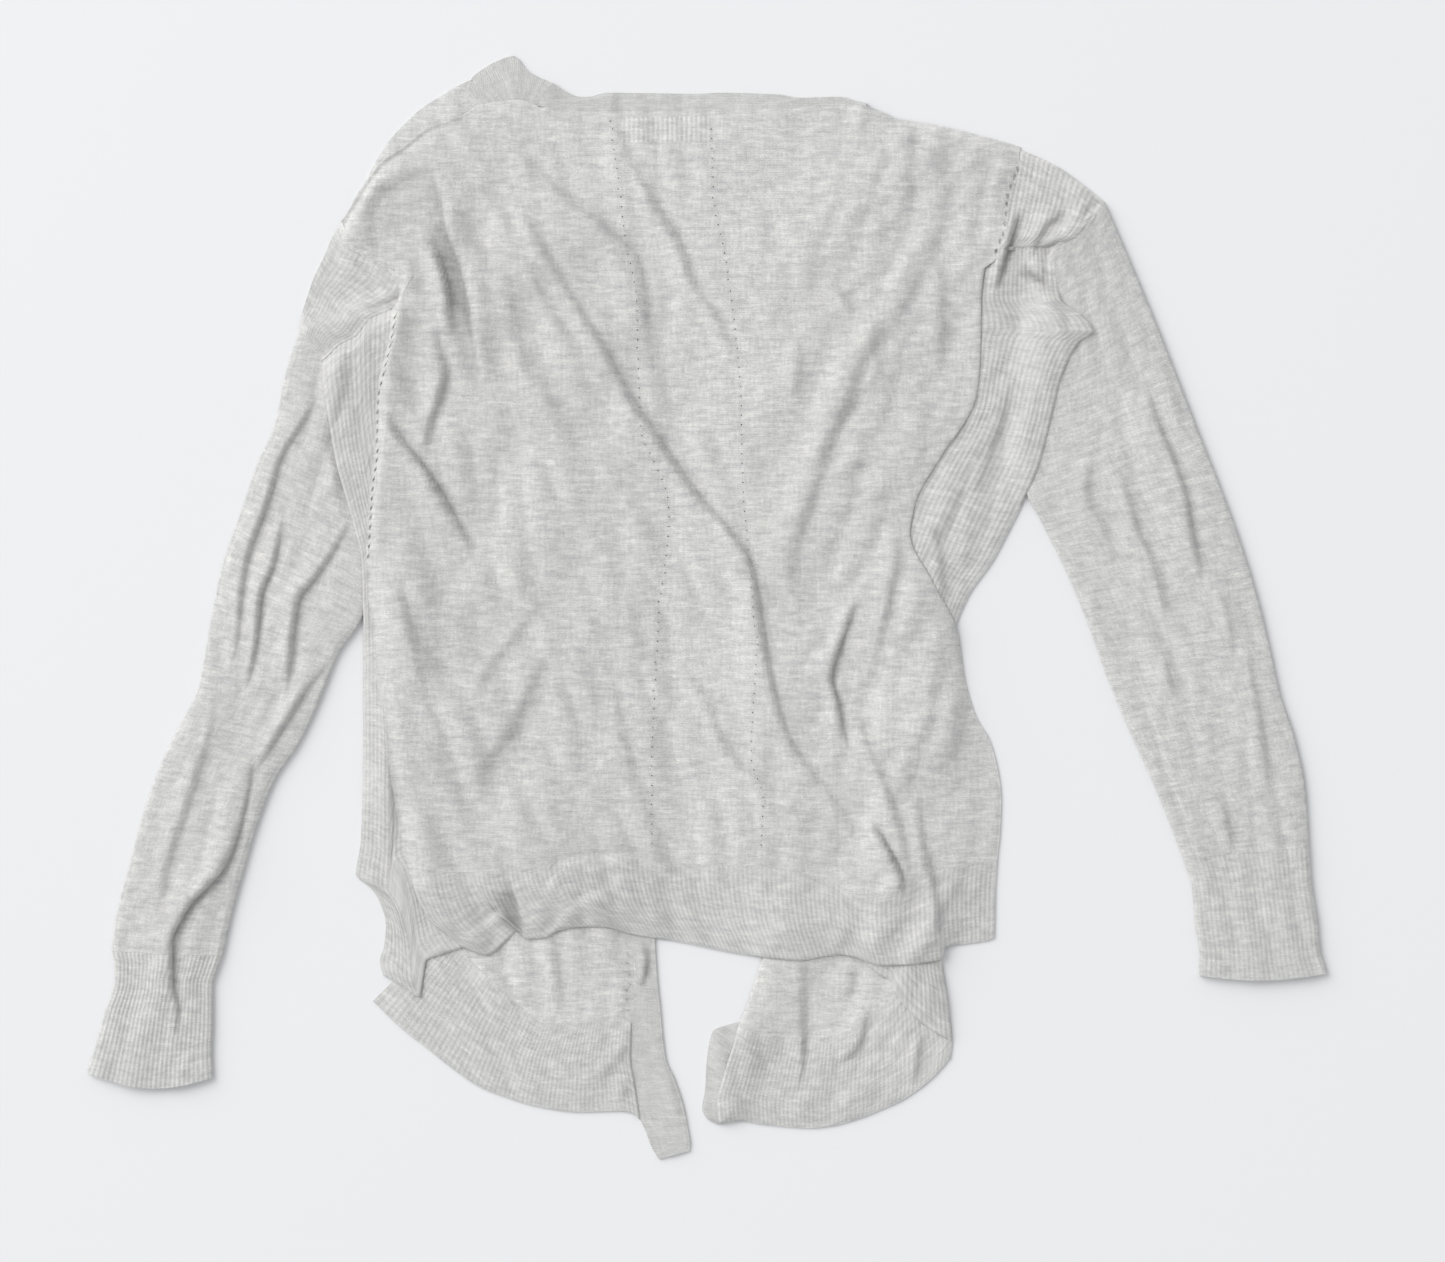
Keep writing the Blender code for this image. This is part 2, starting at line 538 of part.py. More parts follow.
def lay_bands(pile):
    """Front bands on the floor. The right one turns out at its lower end."""
    for name, sections in (("left_front_band", LEFT_BAND), ("right_front_band", RIGHT_BAND)):
        plan = fill_strip(sections, columns=3)
        pile.add(lay_sheet(name, plan, np.zeros(plan.shape[:2]), BAND_WALL))


def lay_fronts(pile):
    """Fronts on the floor, lapped over the bands, with a ribbed hem below each."""
    surfaces = []
    for side, front, hem, width in (
            ("left", LEFT_FRONT, LEFT_FRONT_HEM, 190.0),
            ("right", RIGHT_FRONT, RIGHT_FRONT_HEM, 180.0)):
        plan = fill_outline(front, even(12), even(18))
        under = pile.rest(plan, reach=20.0)
        surface = lay_sheet(side + "_front", plan, under, JERSEY_WALL)
        surfaces.append(surface)
        outline = dict(hem, top=below(surface[-1], SEAM_GAP))
        surfaces.append(lay_ribbed(side + "_front_hem_rib", outline, width, 2, pile, reach=20.0,
                                   step=2))
    return surfaces


def lay_sleeves():
    """Sleeves and cuffs as flattened tubes on the floor."""
    surfaces = []
    for side, sleeve, folds, cuff, bow in (
            ("left", LEFT_SLEEVE, LEFT_SLEEVE_FOLDS, LEFT_CUFF, LEFT_CUFF_BOW),
            ("right", RIGHT_SLEEVE, RIGHT_SLEEVE_FOLDS, RIGHT_CUFF, RIGHT_CUFF_BOW)):
        surfaces.append(lay_tube(side + "_sleeve", sleeve, folds, JERSEY_WALL, columns=12))
        surfaces.append(lay_tube(side + "_cuff", cuff, (), RIB_WALL, columns=52, rows_between=1,
                                 ridges=RIB_RISE, bow=bow))
    return surfaces


def lay_back(pile):
    """The back, with its ribbed hem below and the neckband above."""
    plan = fill_outline(BACK, even(32), even(28))
    under = pile.rest(plan, reach=20.0) + fold_height(plan, BACK_FOLDS)
    surface = lay_sheet("back_panel", plan, under, JERSEY_WALL)

    outline = dict(BACK_HEM, top=below(surface[-1], SEAM_GAP))
    lay_ribbed("back_hem_rib", outline, 390.0, 2, pile, reach=20.0, folds=BACK_FOLDS, step=2)

    edge = surface[0, :, :2]
    inside = edge[(edge[:, 0] > NECK_BAND_TOP[0][0] - 12.0) & (edge[:, 0] < NECK_BAND_TOP[-1][0])]
    lower = inside + (0.0, SEAM_GAP)
    shares = (lower[:, 0] - lower[0, 0]) / (lower[-1, 0] - lower[0, 0])
    upper = edge_points(NECK_BAND_TOP, 0, shares)
    rise = even(3)[:, None, None]
    plan = upper[None] * (1 - rise) + lower[None] * rise
    lay_sheet("neck_band", plan, pile.rest(plan, reach=16.0), BAND_WALL)


def build():
    clear_scene()
    pile = Pile()
    lay_bands(pile)
    for surface in lay_fronts(pile) + lay_sleeves():
        pile.add(surface)
    sides = [lay_ribbed("left_side_panel", LEFT_SIDE, 54.0, 12, pile, reach=24.0),
             lay_ribbed("right_side_panel", RIGHT_SIDE, 60.0, 14, pile, reach=24.0)]
    for surface in sides:
        pile.add(surface)
    shoulders = [lay_ribbed("left_shoulder_rib", LEFT_SHOULDER, 50.0, 6, pile, reach=18.0),
                 lay_ribbed("right_shoulder_rib", RIGHT_SHOULDER, 62.0, 5, pile, reach=18.0)]
    for surface in shoulders:
        pile.add(surface)
    lay_back(pile)


build()
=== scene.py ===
from collections import namedtuple

import bmesh
import bpy
import numpy as np
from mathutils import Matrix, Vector
from mathutils.kdtree import KDTree


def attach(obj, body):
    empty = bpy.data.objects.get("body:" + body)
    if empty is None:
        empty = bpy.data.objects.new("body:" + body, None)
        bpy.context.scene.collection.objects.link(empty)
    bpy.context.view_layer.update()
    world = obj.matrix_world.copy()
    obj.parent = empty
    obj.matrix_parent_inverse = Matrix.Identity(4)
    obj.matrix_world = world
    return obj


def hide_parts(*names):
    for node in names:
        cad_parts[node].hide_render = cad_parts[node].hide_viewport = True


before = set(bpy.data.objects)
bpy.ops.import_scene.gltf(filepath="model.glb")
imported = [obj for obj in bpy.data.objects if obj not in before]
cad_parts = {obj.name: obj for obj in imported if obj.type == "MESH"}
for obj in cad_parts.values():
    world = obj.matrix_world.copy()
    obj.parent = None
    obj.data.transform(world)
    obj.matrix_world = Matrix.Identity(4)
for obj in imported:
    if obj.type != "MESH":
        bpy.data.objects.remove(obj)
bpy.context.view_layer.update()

# A fine-gauge marl cardigan laid flat with its back up. Tables are in millimetres, seen from above,
# with the neck towards +Y. The pieces are laid one on another in the order in which they lie.

MM = 0.001

# Cloth
JERSEY_WALL = 1.2
RIB_WALL = 1.3
BAND_WALL = 1.6
RIB_PITCH = 3.2
RIB_RISE = 0.4
COLUMNS_PER_RIB = 4
WALE = 1.45
COURSE = 1.15

# Eyelets: half widths, step along a line, how far the back's edge reaches past them, and how far a
# point of the cloth may move to one
EYELET_HALF = 0.95
FINE_EYELET_HALF = 0.55
EYELET_STEP = 6.4
EYELET_INSIDE = 2.4
EYELET_SHIFT = 1.3
ROW_STRIDE = 1000.0

# Small wrinkles: shortest and longest wave and spread of direction, their heights, and zones across
# the width, each with the direction across its wrinkles, places along X and its weight at each
FIELD_WAVES = 22
FINE_WAVE = (11.0, 34.0, 0.40)
FOLDED_WAVE = (26.0, 70.0, 0.22)
FINE_WRINKLE = 0.26
FOLDED_WRINKLE = 0.90
FOLDED_ROUNDNESS = 0.06
WRINKLE_ZONES = (
    (-0.30, (-250, -215), (1, 0)),
    (0.50, (-250, -215, 10, 90), (0, 1, 1, 0)),
    (-0.42, (10, 90, 190, 235), (0, 1, 1, 0)),
    (0.30, (190, 235), (0, 1)),
)

# The grid that keeps the height of what is already laid
FLOOR_HALF_X = 450.0
FLOOR_HALF_Y = 410.0
FLOOR_CELL = 2.0
SPREAD_REACH = 4.0
SMOOTH_REACH = 8.0

# How cloth settles: runs over which it eases near an edge, and what is left of creases and hollows
SETTLE_RUN = 14.0
EDGE_FADE = 8.0
RIB_GROWS = 9.0
JOIN_REACH = 9.0
CREASE_AT_EDGE = 0.35
HOLLOW_SHARE = 0.4
LOWEST = -0.6

# Tubes: the hollow inside, what the turned sides add to their radius, how far the top may sink, the
# share of the broad waves it takes, and the power with which it rises from its sides
TUBE_HOLLOW = 0.5
TUBE_SLACK = 0.6
TUBE_LOWEST = -0.3
TUBE_WAVES = 0.6
TUBE_SHOULDER = 0.4
TURN_POINTS = 9
UNDERSIDE_PARTS = 8
SLEEVE_COLUMNS = 74
SLEEVE_PUFF = 1.6
CUFF_RIBS = 25
CUFF_PUFF = 1.2
LEFT_CUFF_BOW = 9.0
RIGHT_CUFF_BOW = 4.0

# Grids of sheets: distances of the first rows from an end, then width, length and step of each sheet,
# and how loftily it lies
NEAR_END = (0.0, 0.45, 1.0, 1.8, 2.9, 4.4)
STATION_STEP = 2.6
BAND_COLUMNS = 12
BAND_LOFT = 0.4
FRONT_WIDTH, FRONT_LENGTH, FRONT_STEP, FRONT_LOFT = 150.0, 570.0, 3.0, 1.0
BACK_WIDTH, BACK_LENGTH, BACK_STEP, BACK_LOFT = 430.0, 500.0, 2.4, 1.8
NECK_OVERHANG, NECK_WIDTH, NECK_STEP, NECK_LOFT = 12.0, 12.0, 1.3, 0.6
SHOULDER_OVERLAP = 0.1

# Ribbed sheets: width of the ribbing, step between rows, loft, and how fully the ribs rise
RIBBED = {
    "left_front_hem_rib": (190.0, 3.0, 1.0, 0.7),
    "right_front_hem_rib": (180.0, 3.0, 1.0, 0.7),
    "left_side_panel": (54.0, 2.6, 1.2, 1.0),
    "right_side_panel": (60.0, 2.6, 1.2, 1.0),
    "left_shoulder_rib": (50.0, 2.4, 0.8, 0.5),
    "right_shoulder_rib": (62.0, 2.4, 1.2, 1.0),
    "back_hem_rib": (390.0, 2.6, 1.8, 1.0),
}

# How an edge ends: rise above what lies beneath, run over which it turns down, and whether softly
PLAIN_EDGE = (0.8, 1.6, False)
FOLDED_EDGE = (0.7, 3.6, False)
SEAM_EDGE = (-0.15, 13.0, True)
# A span that takes in the whole of any edge
ALL = (-500.0, 500.0)
BOTH_SIDES = (("left", PLAIN_EDGE, *ALL), ("right", PLAIN_EDGE, *ALL))
HEM_EDGES = (*BOTH_SIDES, ("bottom", PLAIN_EDGE, *ALL))

# Yarn: colour, and spots so many to a metre across a course, up a wale and through the cloth
YARN = (0.622, 0.617, 0.600)
MARL_TINT = (0.66, 0.63, 0.54)
MARL_STREAK = (64.0, 260.0, 1.0)
MARL_FLECK = (150.0, 620.0, 1.0)
PLY = (750.0, 1300.0, 1.0)
WALE_TONE = (480.0, 110.0, 1.0)
CLOUD = (9.0, 9.0, 9.0)
# Painted shade: in the valleys between the ribs, on the rims of holes, and in the slits of creases
RIB_SHADE = 0.08
EYELET_RIM_PAINTED_SHADE = -0.55
CREASE_PAINTED_SHADE = -0.36

# The ribbed rectangle below the neckband, in metres: low and high X, low and high Y
NECK_PATCH = ((-0.0567, 0.0033), (0.3097, 0.327))
# Strength of the painted rib shading in that rectangle
NECK_PATCH_SHADE = 0.09

# Outlines of the sheets: top and bottom edges run in +X, left and right edges run down
BACK = {
    "top": ((-243.3, 257), (-231.3, 277), (-218, 296.3), (-202.7, 307), (-184.7, 320.3), (-164.7, 327),
        (-151.3, 335), (-124.7, 338.3), (-111.3, 333.7), (-98, 331.7), (-71.3, 330.3), (-4.7, 330.3),
        (48.7, 332.3), (102, 334.3), (115.3, 331), (125.3, 326.3), (155.3, 321), (195.3, 311),
        (208.7, 307)),
    "bottom": ((-196.7, -180.3), (-164.7, -176.3), (-138, -175), (-108, -171.7), (-98, -163.7),
        (-71.3, -163), (-44.7, -167), (-4.7, -171), (35.3, -172.3), (82, -181.7), (102, -193),
        (128.7, -188.3), (152, -175), (193.3, -168.3)),
    "left": ((-243.3, 257), (-242, 244.3), (-235.3, 239), (-224.7, 235), (-214, 224.7),
        (-206.5, 217.7), (-205.5, 207), (-207.7, 195.7), (-211.3, 171), (-217.3, 145), (-219.3, 101.7),
        (-222.7, 76.3), (-224.7, 43), (-226, 11.7), (-223.3, -8.3), (-218, -61.7), (-210, -115),
        (-199.3, -171.7), (-196.7, -180.3)),
    "right": ((208.7, 307), (206, 288.3), (202, 281), (199.3, 265.7), (195.3, 243.7), (190, 231.7),
        (184.7, 225), (182.7, 205), (182, 165), (178.7, 138.3), (174.7, 128.3), (156.7, 101.7),
        (138, 67), (135.3, 49), (149.3, 18.3), (166.7, -15.7), (172, -48.3), (178.7, -71.7),
        (188.7, -89.7), (195.3, -118.3), (196, -128.3), (195.3, -148.3), (193.3, -168.3)),
}
BACK_HEM = {
    "bottom": ((-162.7, -226.3), (-146.7, -231.7), (-134.7, -223), (-125.3, -215), (-120, -221),
        (-108, -220.3), (-98, -215), (-84.7, -213), (-68, -213), (-51.3, -217.7), (-18, -223),
        (22, -231), (48.7, -234.3), (62, -235), (88.7, -231.7), (118.7, -238.3), (156.7, -234.3),
        (158.7, -227), (172, -224.3), (185.3, -222.3), (191.3, -220.3)),
    "left": ((-196.5, -180.7), (-194.7, -188.3), (-188, -203), (-183.3, -209.7), (-174.7, -216.3),
        (-162.7, -226.3)),
    "right": ((193.3, -168.7), (192, -188.3), (191.3, -220.3)),
}
NECK_BAND_TOP = ((-103.3, 349.7), (-98, 346.3), (-91.3, 342.3), (-84.7, 340.3), (-78, 340.3),
    (-71.3, 342.3), (-64.7, 343), (-4.7, 342.3), (8.7, 343), (48.7, 341.7), (62, 339.7), (88.7, 340.3),
    (102, 336.9), (106, 336.3))
LEFT_SHOULDER = {
    "top": ((-243.3, 257), (-238, 247), (-231, 243.5), (-221, 239), (-208, 228.5), (-190, 221)),
    "bottom": ((-271.3, 181.7), (-256.7, 163.7)),
    "left": ((-243.3, 257), (-250.7, 245), (-254.7, 235), (-258, 228.3), (-262.7, 218.3),
        (-266, 208.3), (-270, 195), (-271.3, 181.7)),
    "right": ((-190, 221), (-197, 206), (-211.3, 198.3), (-224.7, 191.7), (-234.7, 179.7),
        (-244.7, 175), (-251.3, 168.3), (-256.7, 163.7)),
}
RIGHT_SHOULDER = {
    "top": ((202.5, 308.6), (210, 306.3), (222, 301), (235.3, 293.7), (248.7, 283.7), (265.3, 269.7)),
    "bottom": ((184, 230.3), (206, 233), (228.7, 239.7)),
    "left": ((202.5, 306.5), (200, 288), (196, 265.7), (192, 248), (184, 230.3)),
    "right": ((265.3, 269.7), (262, 265), (256.7, 255), (248.7, 246.3), (238.7, 243), (228.7, 239.7)),
}
LEFT_SIDE = {
    "top": ((-256.7, 166.3), (-244.7, 178), (-234.7, 183), (-224.7, 195), (-211.3, 201.5),
        (-199.3, 210.3)),
    "bottom": ((-216, -245), (-201.3, -253), (-191.3, -259.7), (-189.3, -248.3), (-186.7, -235),
        (-178, -231.7), (-155.3, -224.3)),
    "left": ((-256.7, 166.3), (-256, 151.7), (-254, 138.3), (-247.3, 98.3), (-240, 71.7), (-232.7, 45),
        (-230, 31.7), (-229.3, 5), (-229.3, -101.7), (-230.7, -155), (-234, -178.3), (-224.7, -186.3),
        (-218.7, -195), (-214, -211.7), (-215.3, -226.3), (-218, -235), (-216, -245)),
    "right": ((-199.3, 210.3), (-200.7, 191.7), (-204.7, 145), (-203.3, 101.7), (-198, 76.3),
        (-191.3, 43), (-188, 11.7), (-186, -21.7), (-184.7, -75), (-183.3, -128.3), (-179.3, -178.3),
        (-170, -205), (-155.3, -224.3)),
}
RIGHT_SIDE = {
    "top": ((182, 238), (230.7, 241)),
    "bottom": ((100.7, -231.7), (115.3, -245), (122, -248.3), (126.7, -258.3), (135.3, -269.7),
        (145.3, -278.3), (155.3, -285), (163.3, -288.3)),
    "left": ((182, 238), (176, 205), (174, 165), (170.7, 138.3), (165.3, 125), (148.7, 98.3),
        (134, 71.7), (126.7, 49), (118.7, 5), (115.3, -61.7), (112, -128.3), (106, -195),
        (100.7, -231.7)),
    "right": ((230.7, 241), (233.3, 218.3), (235.3, 205), (248.7, 195), (255.3, 188.3), (258, 183),
        (248.7, 177.7), (240.7, 165), (235.3, 151.7), (228.7, 125), (222, 98.3), (211.3, 71.7),
        (200, 49), (190.7, 31.7), (172.7, 5), (166, -15), (165.3, -48.3), (170, -88.3), (174, -141.7),
        (170, -181.7), (160.7, -215), (156.7, -235), (160.7, -261.7), (163.3, -288.3)),
}
LEFT_FRONT = {
    "top": ((-241.3, 255.7), (-236, 270.3), (-227.3, 284.3), (-220, 298.3), (-210.7, 312.3),
        (-201.3, 322.3), (-191.3, 331.7), (-178, 340.3), (-164.7, 348.3), (-156.7, 351.7)),
    "bottom": ((-179.3, -219), (-161.3, -231.7), (-144.7, -247), (-124.7, -265), (-108, -277),
        (-91.3, -276.3), (-71.3, -273.7), (-50.7, -272.3)),
    "left": ((-241.3, 255.7), (-236.7, 235), (-218, 218), (-196.7, 208), (-196.7, 178.3),
        (-202.7, 145), (-209.3, 105), (-213.3, 65), (-217.3, 25), (-220.7, -8.3), (-223.3, -61.7),
        (-223.3, -128.3), (-214.7, -168.3), (-198, -198.3), (-179.3, -219)),
    "right": ((-156.7, 351.7), (-156, 338), (-150, 321), (-139.3, 301.7), (-123.3, 278.3),
        (-103.3, 256.3), (-77.3, 239), (-67.3, 223), (-62.7, 205), (-56.7, 149.7), (-56.7, 5),
        (-57.3, -95), (-56, -175), (-52.4, -219.7), (-48.4, -235), (-46.4, -253.7), (-47, -267),
        (-50.7, -272.3)),
}
LEFT_FRONT_HEM = {
    "bottom": ((-222.7, -262.3), (-204.7, -279.7), (-191.3, -290.3), (-164.7, -311), (-151.3, -319.7),
        (-138, -325), (-111.3, -333), (-84.7, -336.3), (-58, -335.7), (-50, -337), (-44.7, -341.7)),
    "left": ((-179.5, -219.4), (-222.7, -262.3)),
    "right": ((-50.7, -272.7), (-50.5, -281.7), (-51, -301.7), (-48.7, -315), (-44.7, -341.7)),
}
RIGHT_FRONT = {
    "top": ((111.3, 323.7), (148.7, 318.3), (182, 309.7), (198.7, 303.7)),
    "bottom": ((20.7, -279), (35.3, -283.7), (55.3, -286.3), (75.3, -286.3), (95.3, -281.7),
        (108.7, -271.7), (122, -261.7), (132, -248.3), (145.3, -236.3), (155.3, -227)),
    "left": ((111.3, 323.7), (93, 288), (73, 237), (58.7, 175), (52.5, 106), (53, 5), (55, -95),
        (57, -165), (48, -205), (37.3, -233), (30, -255), (25.3, -268.3), (20.7, -279)),
    "right": ((198.7, 303.7), (197.3, 271.7), (195.3, 234.3), (195.3, 158.3), (185.3, 111.7),
        (178.7, 77), (172, 31.7), (160.7, -13.7), (160.7, -61.7), (165.3, -115), (166.7, -168.3),
        (162, -208.3), (155.3, -227)),
}
RIGHT_FRONT_HEM = {
    "bottom": ((8, -343.7), (22, -342.3), (35.3, -344.3), (55.3, -346.3), (68.7, -347), (82, -345.7),
        (102, -340.3), (115.3, -335), (128.7, -329), (142, -320.3), (152, -311.7), (162, -300.3)),
    "left": ((20.7, -279.4), (17.3, -291.7), (14, -301.7), (10, -315), (6.7, -328.3), (8, -343.7)),
    "right": ((155.3, -227.4), (158.7, -248.3), (160.7, -261.7), (163.3, -288.3), (162, -300.3)),
}

# Strips and tubes as sections down their length: one edge x, y, then the other edge x, y
LEFT_BAND = (
    (-102.5, 349.3, -109.5, 331.5),
    (-111.3, 353, -116, 332.3),
    (-120, 357.7, -123, 334),
    (-128.7, 367.7, -126, 332),
    (-138, 365, -129, 331),
    (-148, 359.7, -131, 329),
    (-158, 351, -131.5, 326),
    (-160, 338, -130.5, 323),
    (-154, 320, -127, 318),
    (-143, 299, -121, 307.7),
    (-127, 275.7, -105.3, 285),
    (-107, 254, -85.3, 263.7),
    (-80, 236, -60, 250.3),
    (-70.5, 221, -46.7, 236.3),
    (-67, 204, -40.7, 213),
    (-65, 180, -38, 188),
    (-60.5, 150, -33.5, 155),
    (-60.5, 5, -34, 5),
    (-61, -95, -34.7, -95),
    (-60, -170, -35, -170),
    (-56.5, -219.7, -34.7, -221.7),
    (-52.5, -235, -34, -236.3),
    (-50.5, -253.7, -32.7, -253.7),
    (-52, -267, -31.3, -266),
    (-54, -281.7, -30, -281.7),
    (-54.5, -301.7, -27.3, -301.7),
    (-52.5, -315, -22, -313.7),
    (-49, -331.7, -16, -331.7),
    (-41.3, -348.3, -12.7, -348.3),
    (-36, -361.7, -11.3, -358.3),
    (-32, -367.7, -12, -362.3),
)
RIGHT_BAND = (
    (92.7, 330.3, 119.3, 329),
    (72, 285, 97, 292),
    (52, 231.7, 77, 239.5),
    (36.7, 171.7, 62.7, 177),
    (30, 105, 56.5, 106.5),
    (30.7, 5, 57, 5),
    (32.7, -95, 59, -95),
    (35.3, -175, 61.7, -176),
    (38.7, -221.7, 65, -223),
    (40.7, -233, 67.3, -236.3),
    (32, -261.7, 58, -267),
    (24.7, -275, 48.7, -284.3),
    (14, -278.3, 39.3, -293.7),
    (4, -282.3, 32, -300.3),
    (0.7, -295, 28.7, -308.3),
    (-0.7, -308.3, 26, -316.3),
    (-1.3, -321.7, 24, -325.7),
    (-3.3, -333.7, 22.7, -335),
    (-0.7, -340.3, 20.7, -340.3),
    (6.7, -344.3, 17.3, -341.7),
)
LEFT_SLEEVE = (
    (-271.3, 185, -201.3, 203),
    (-280.7, 157, -208, 145),
    (-288, 121.7, -214.7, 105),
    (-300, 95, -219.3, 65),
    (-311.3, 61.7, -223.3, 25),
    (-323.3, 27, -230, -7),
    (-331.3, -11.7, -246, -31.7),
    (-339.3, -55, -258, -61.7),
    (-348.7, -73.7, -271.3, -89.7),
    (-362.7, -101.7, -288, -115),
    (-376, -138.3, -299.3, -143.7),
    (-384.7, -171.7, -308, -173),
    (-392.7, -201.7, -316.7, -205),
    (-396.7, -229, -322.7, -232),
)
LEFT_CUFF = (
    (-396.7, -229, -322.7, -232),
    (-394.7, -238, -326, -241),
    (-394.7, -247, -329.3, -251.7),
    (-401.3, -269.7, -329.3, -275),
    (-408, -293.7, -330, -295),
    (-413.3, -309.7, -329.3, -313),
)
RIGHT_SLEEVE = (
    (265.3, 269, 228.7, 238.3),
    (282, 230.3, 222, 198.3),
    (298.7, 190.3, 215.3, 151.7),
    (315.3, 148.3, 208.7, 111.7),
    (328.7, 113.7, 212.7, 77),
    (342, 80.3, 222, 58.3),
    (355.3, 43.7, 239.3, 23.7),
    (367.3, 5, 254, -11.7),
    (375.3, -28.3, 264.7, -41.7),
    (382, -58.3, 278.7, -76.3),
    (392, -88.3, 292.7, -107),
    (398.7, -121.7, 306, -138.3),
    (401.3, -160, 316.7, -167),
)
RIGHT_CUFF = (
    (401.3, -160, 316.7, -167),
    (402.7, -181.7, 322.7, -185),
    (406.7, -208.3, 325.3, -211.7),
    (408.7, -228.3, 328, -231.7),
    (413.3, -243.7, 327.3, -245),
)

# Lines of eyelets
LEFT_BACK_EYELETS = ((-64.7, 327), (-63.3, 313.7), (-60.7, 296.3), (-58, 278.3), (-56, 257),
    (-53.3, 238.3), (-50, 225), (-46.7, 205), (-46, 175), (-44, 118.3), (-35.3, 97), (-26, 72.3),
    (-25.3, 59.7), (-26, 47), (-32, -5), (-33.3, -30.3), (-36, -83), (-36.7, -101.7), (-36.7, -159.7))
RIGHT_BACK_EYELETS = ((2.7, 321.7), (5.3, 265), (10, 245), (14, 221.7), (18.7, 185), (22.7, 138.3),
    (23.3, 99), (24.7, 68.3), (27.3, 43.7), (30.7, -3.7), (32.7, -30.3), (30, -77.7), (29.3, -99),
    (37.3, -127.7), (36, -161.7))
RIGHT_SHOULDER_EYELETS = ((207.3, 295.7), (206, 288.3), (202, 281), (199.3, 265.7), (197.3, 249.7),
    (195.3, 243.7), (190, 231.7))
LEFT_SHOULDER_EYELETS = ((-242, 244.3), (-235.3, 239), (-224.7, 235), (-216.7, 226.3), (-206.7, 221.7),
    (-195.3, 217.7))
LEFT_SIDE_EYELETS = ((-206.7, 195.7), (-211.3, 171), (-217.3, 145), (-219.3, 133.7), (-219.3, 101.7),
    (-222.7, 76.3), (-224.7, 43), (-226, 31.7))
LEFT_FRONT_EYELETS = ((-51, -221), (-50, -240), (-49.5, -262), (-53, -290))

# Rows of eyelets in a sheet: line, distance to its left, half width of a hole, and the painted shade
# on its rim
BACK_EYELETS = (
    (LEFT_BACK_EYELETS, 0.0, FINE_EYELET_HALF, 0.1),
    (RIGHT_BACK_EYELETS, 0.0, FINE_EYELET_HALF, 0.1),
    (RIGHT_SHOULDER_EYELETS, 0.0, EYELET_HALF, 1.0),
    (LEFT_SHOULDER_EYELETS, 1.6, FINE_EYELET_HALF, 0.0),
    (LEFT_SIDE_EYELETS, 0.0, EYELET_HALF, 1.0),
)
FRONT_EYELETS = ((LEFT_FRONT_EYELETS, -2.6, 0.4, 0.3),)

# Creases: how strongly all of them stand, how much painted shade each millimetre of a crease's slit
# gives, and how many soft widths away a crease is still felt
CREASE_GAIN = 1.25
FOLD_SHADE = 0.42
CREASE_REACH = 2.4

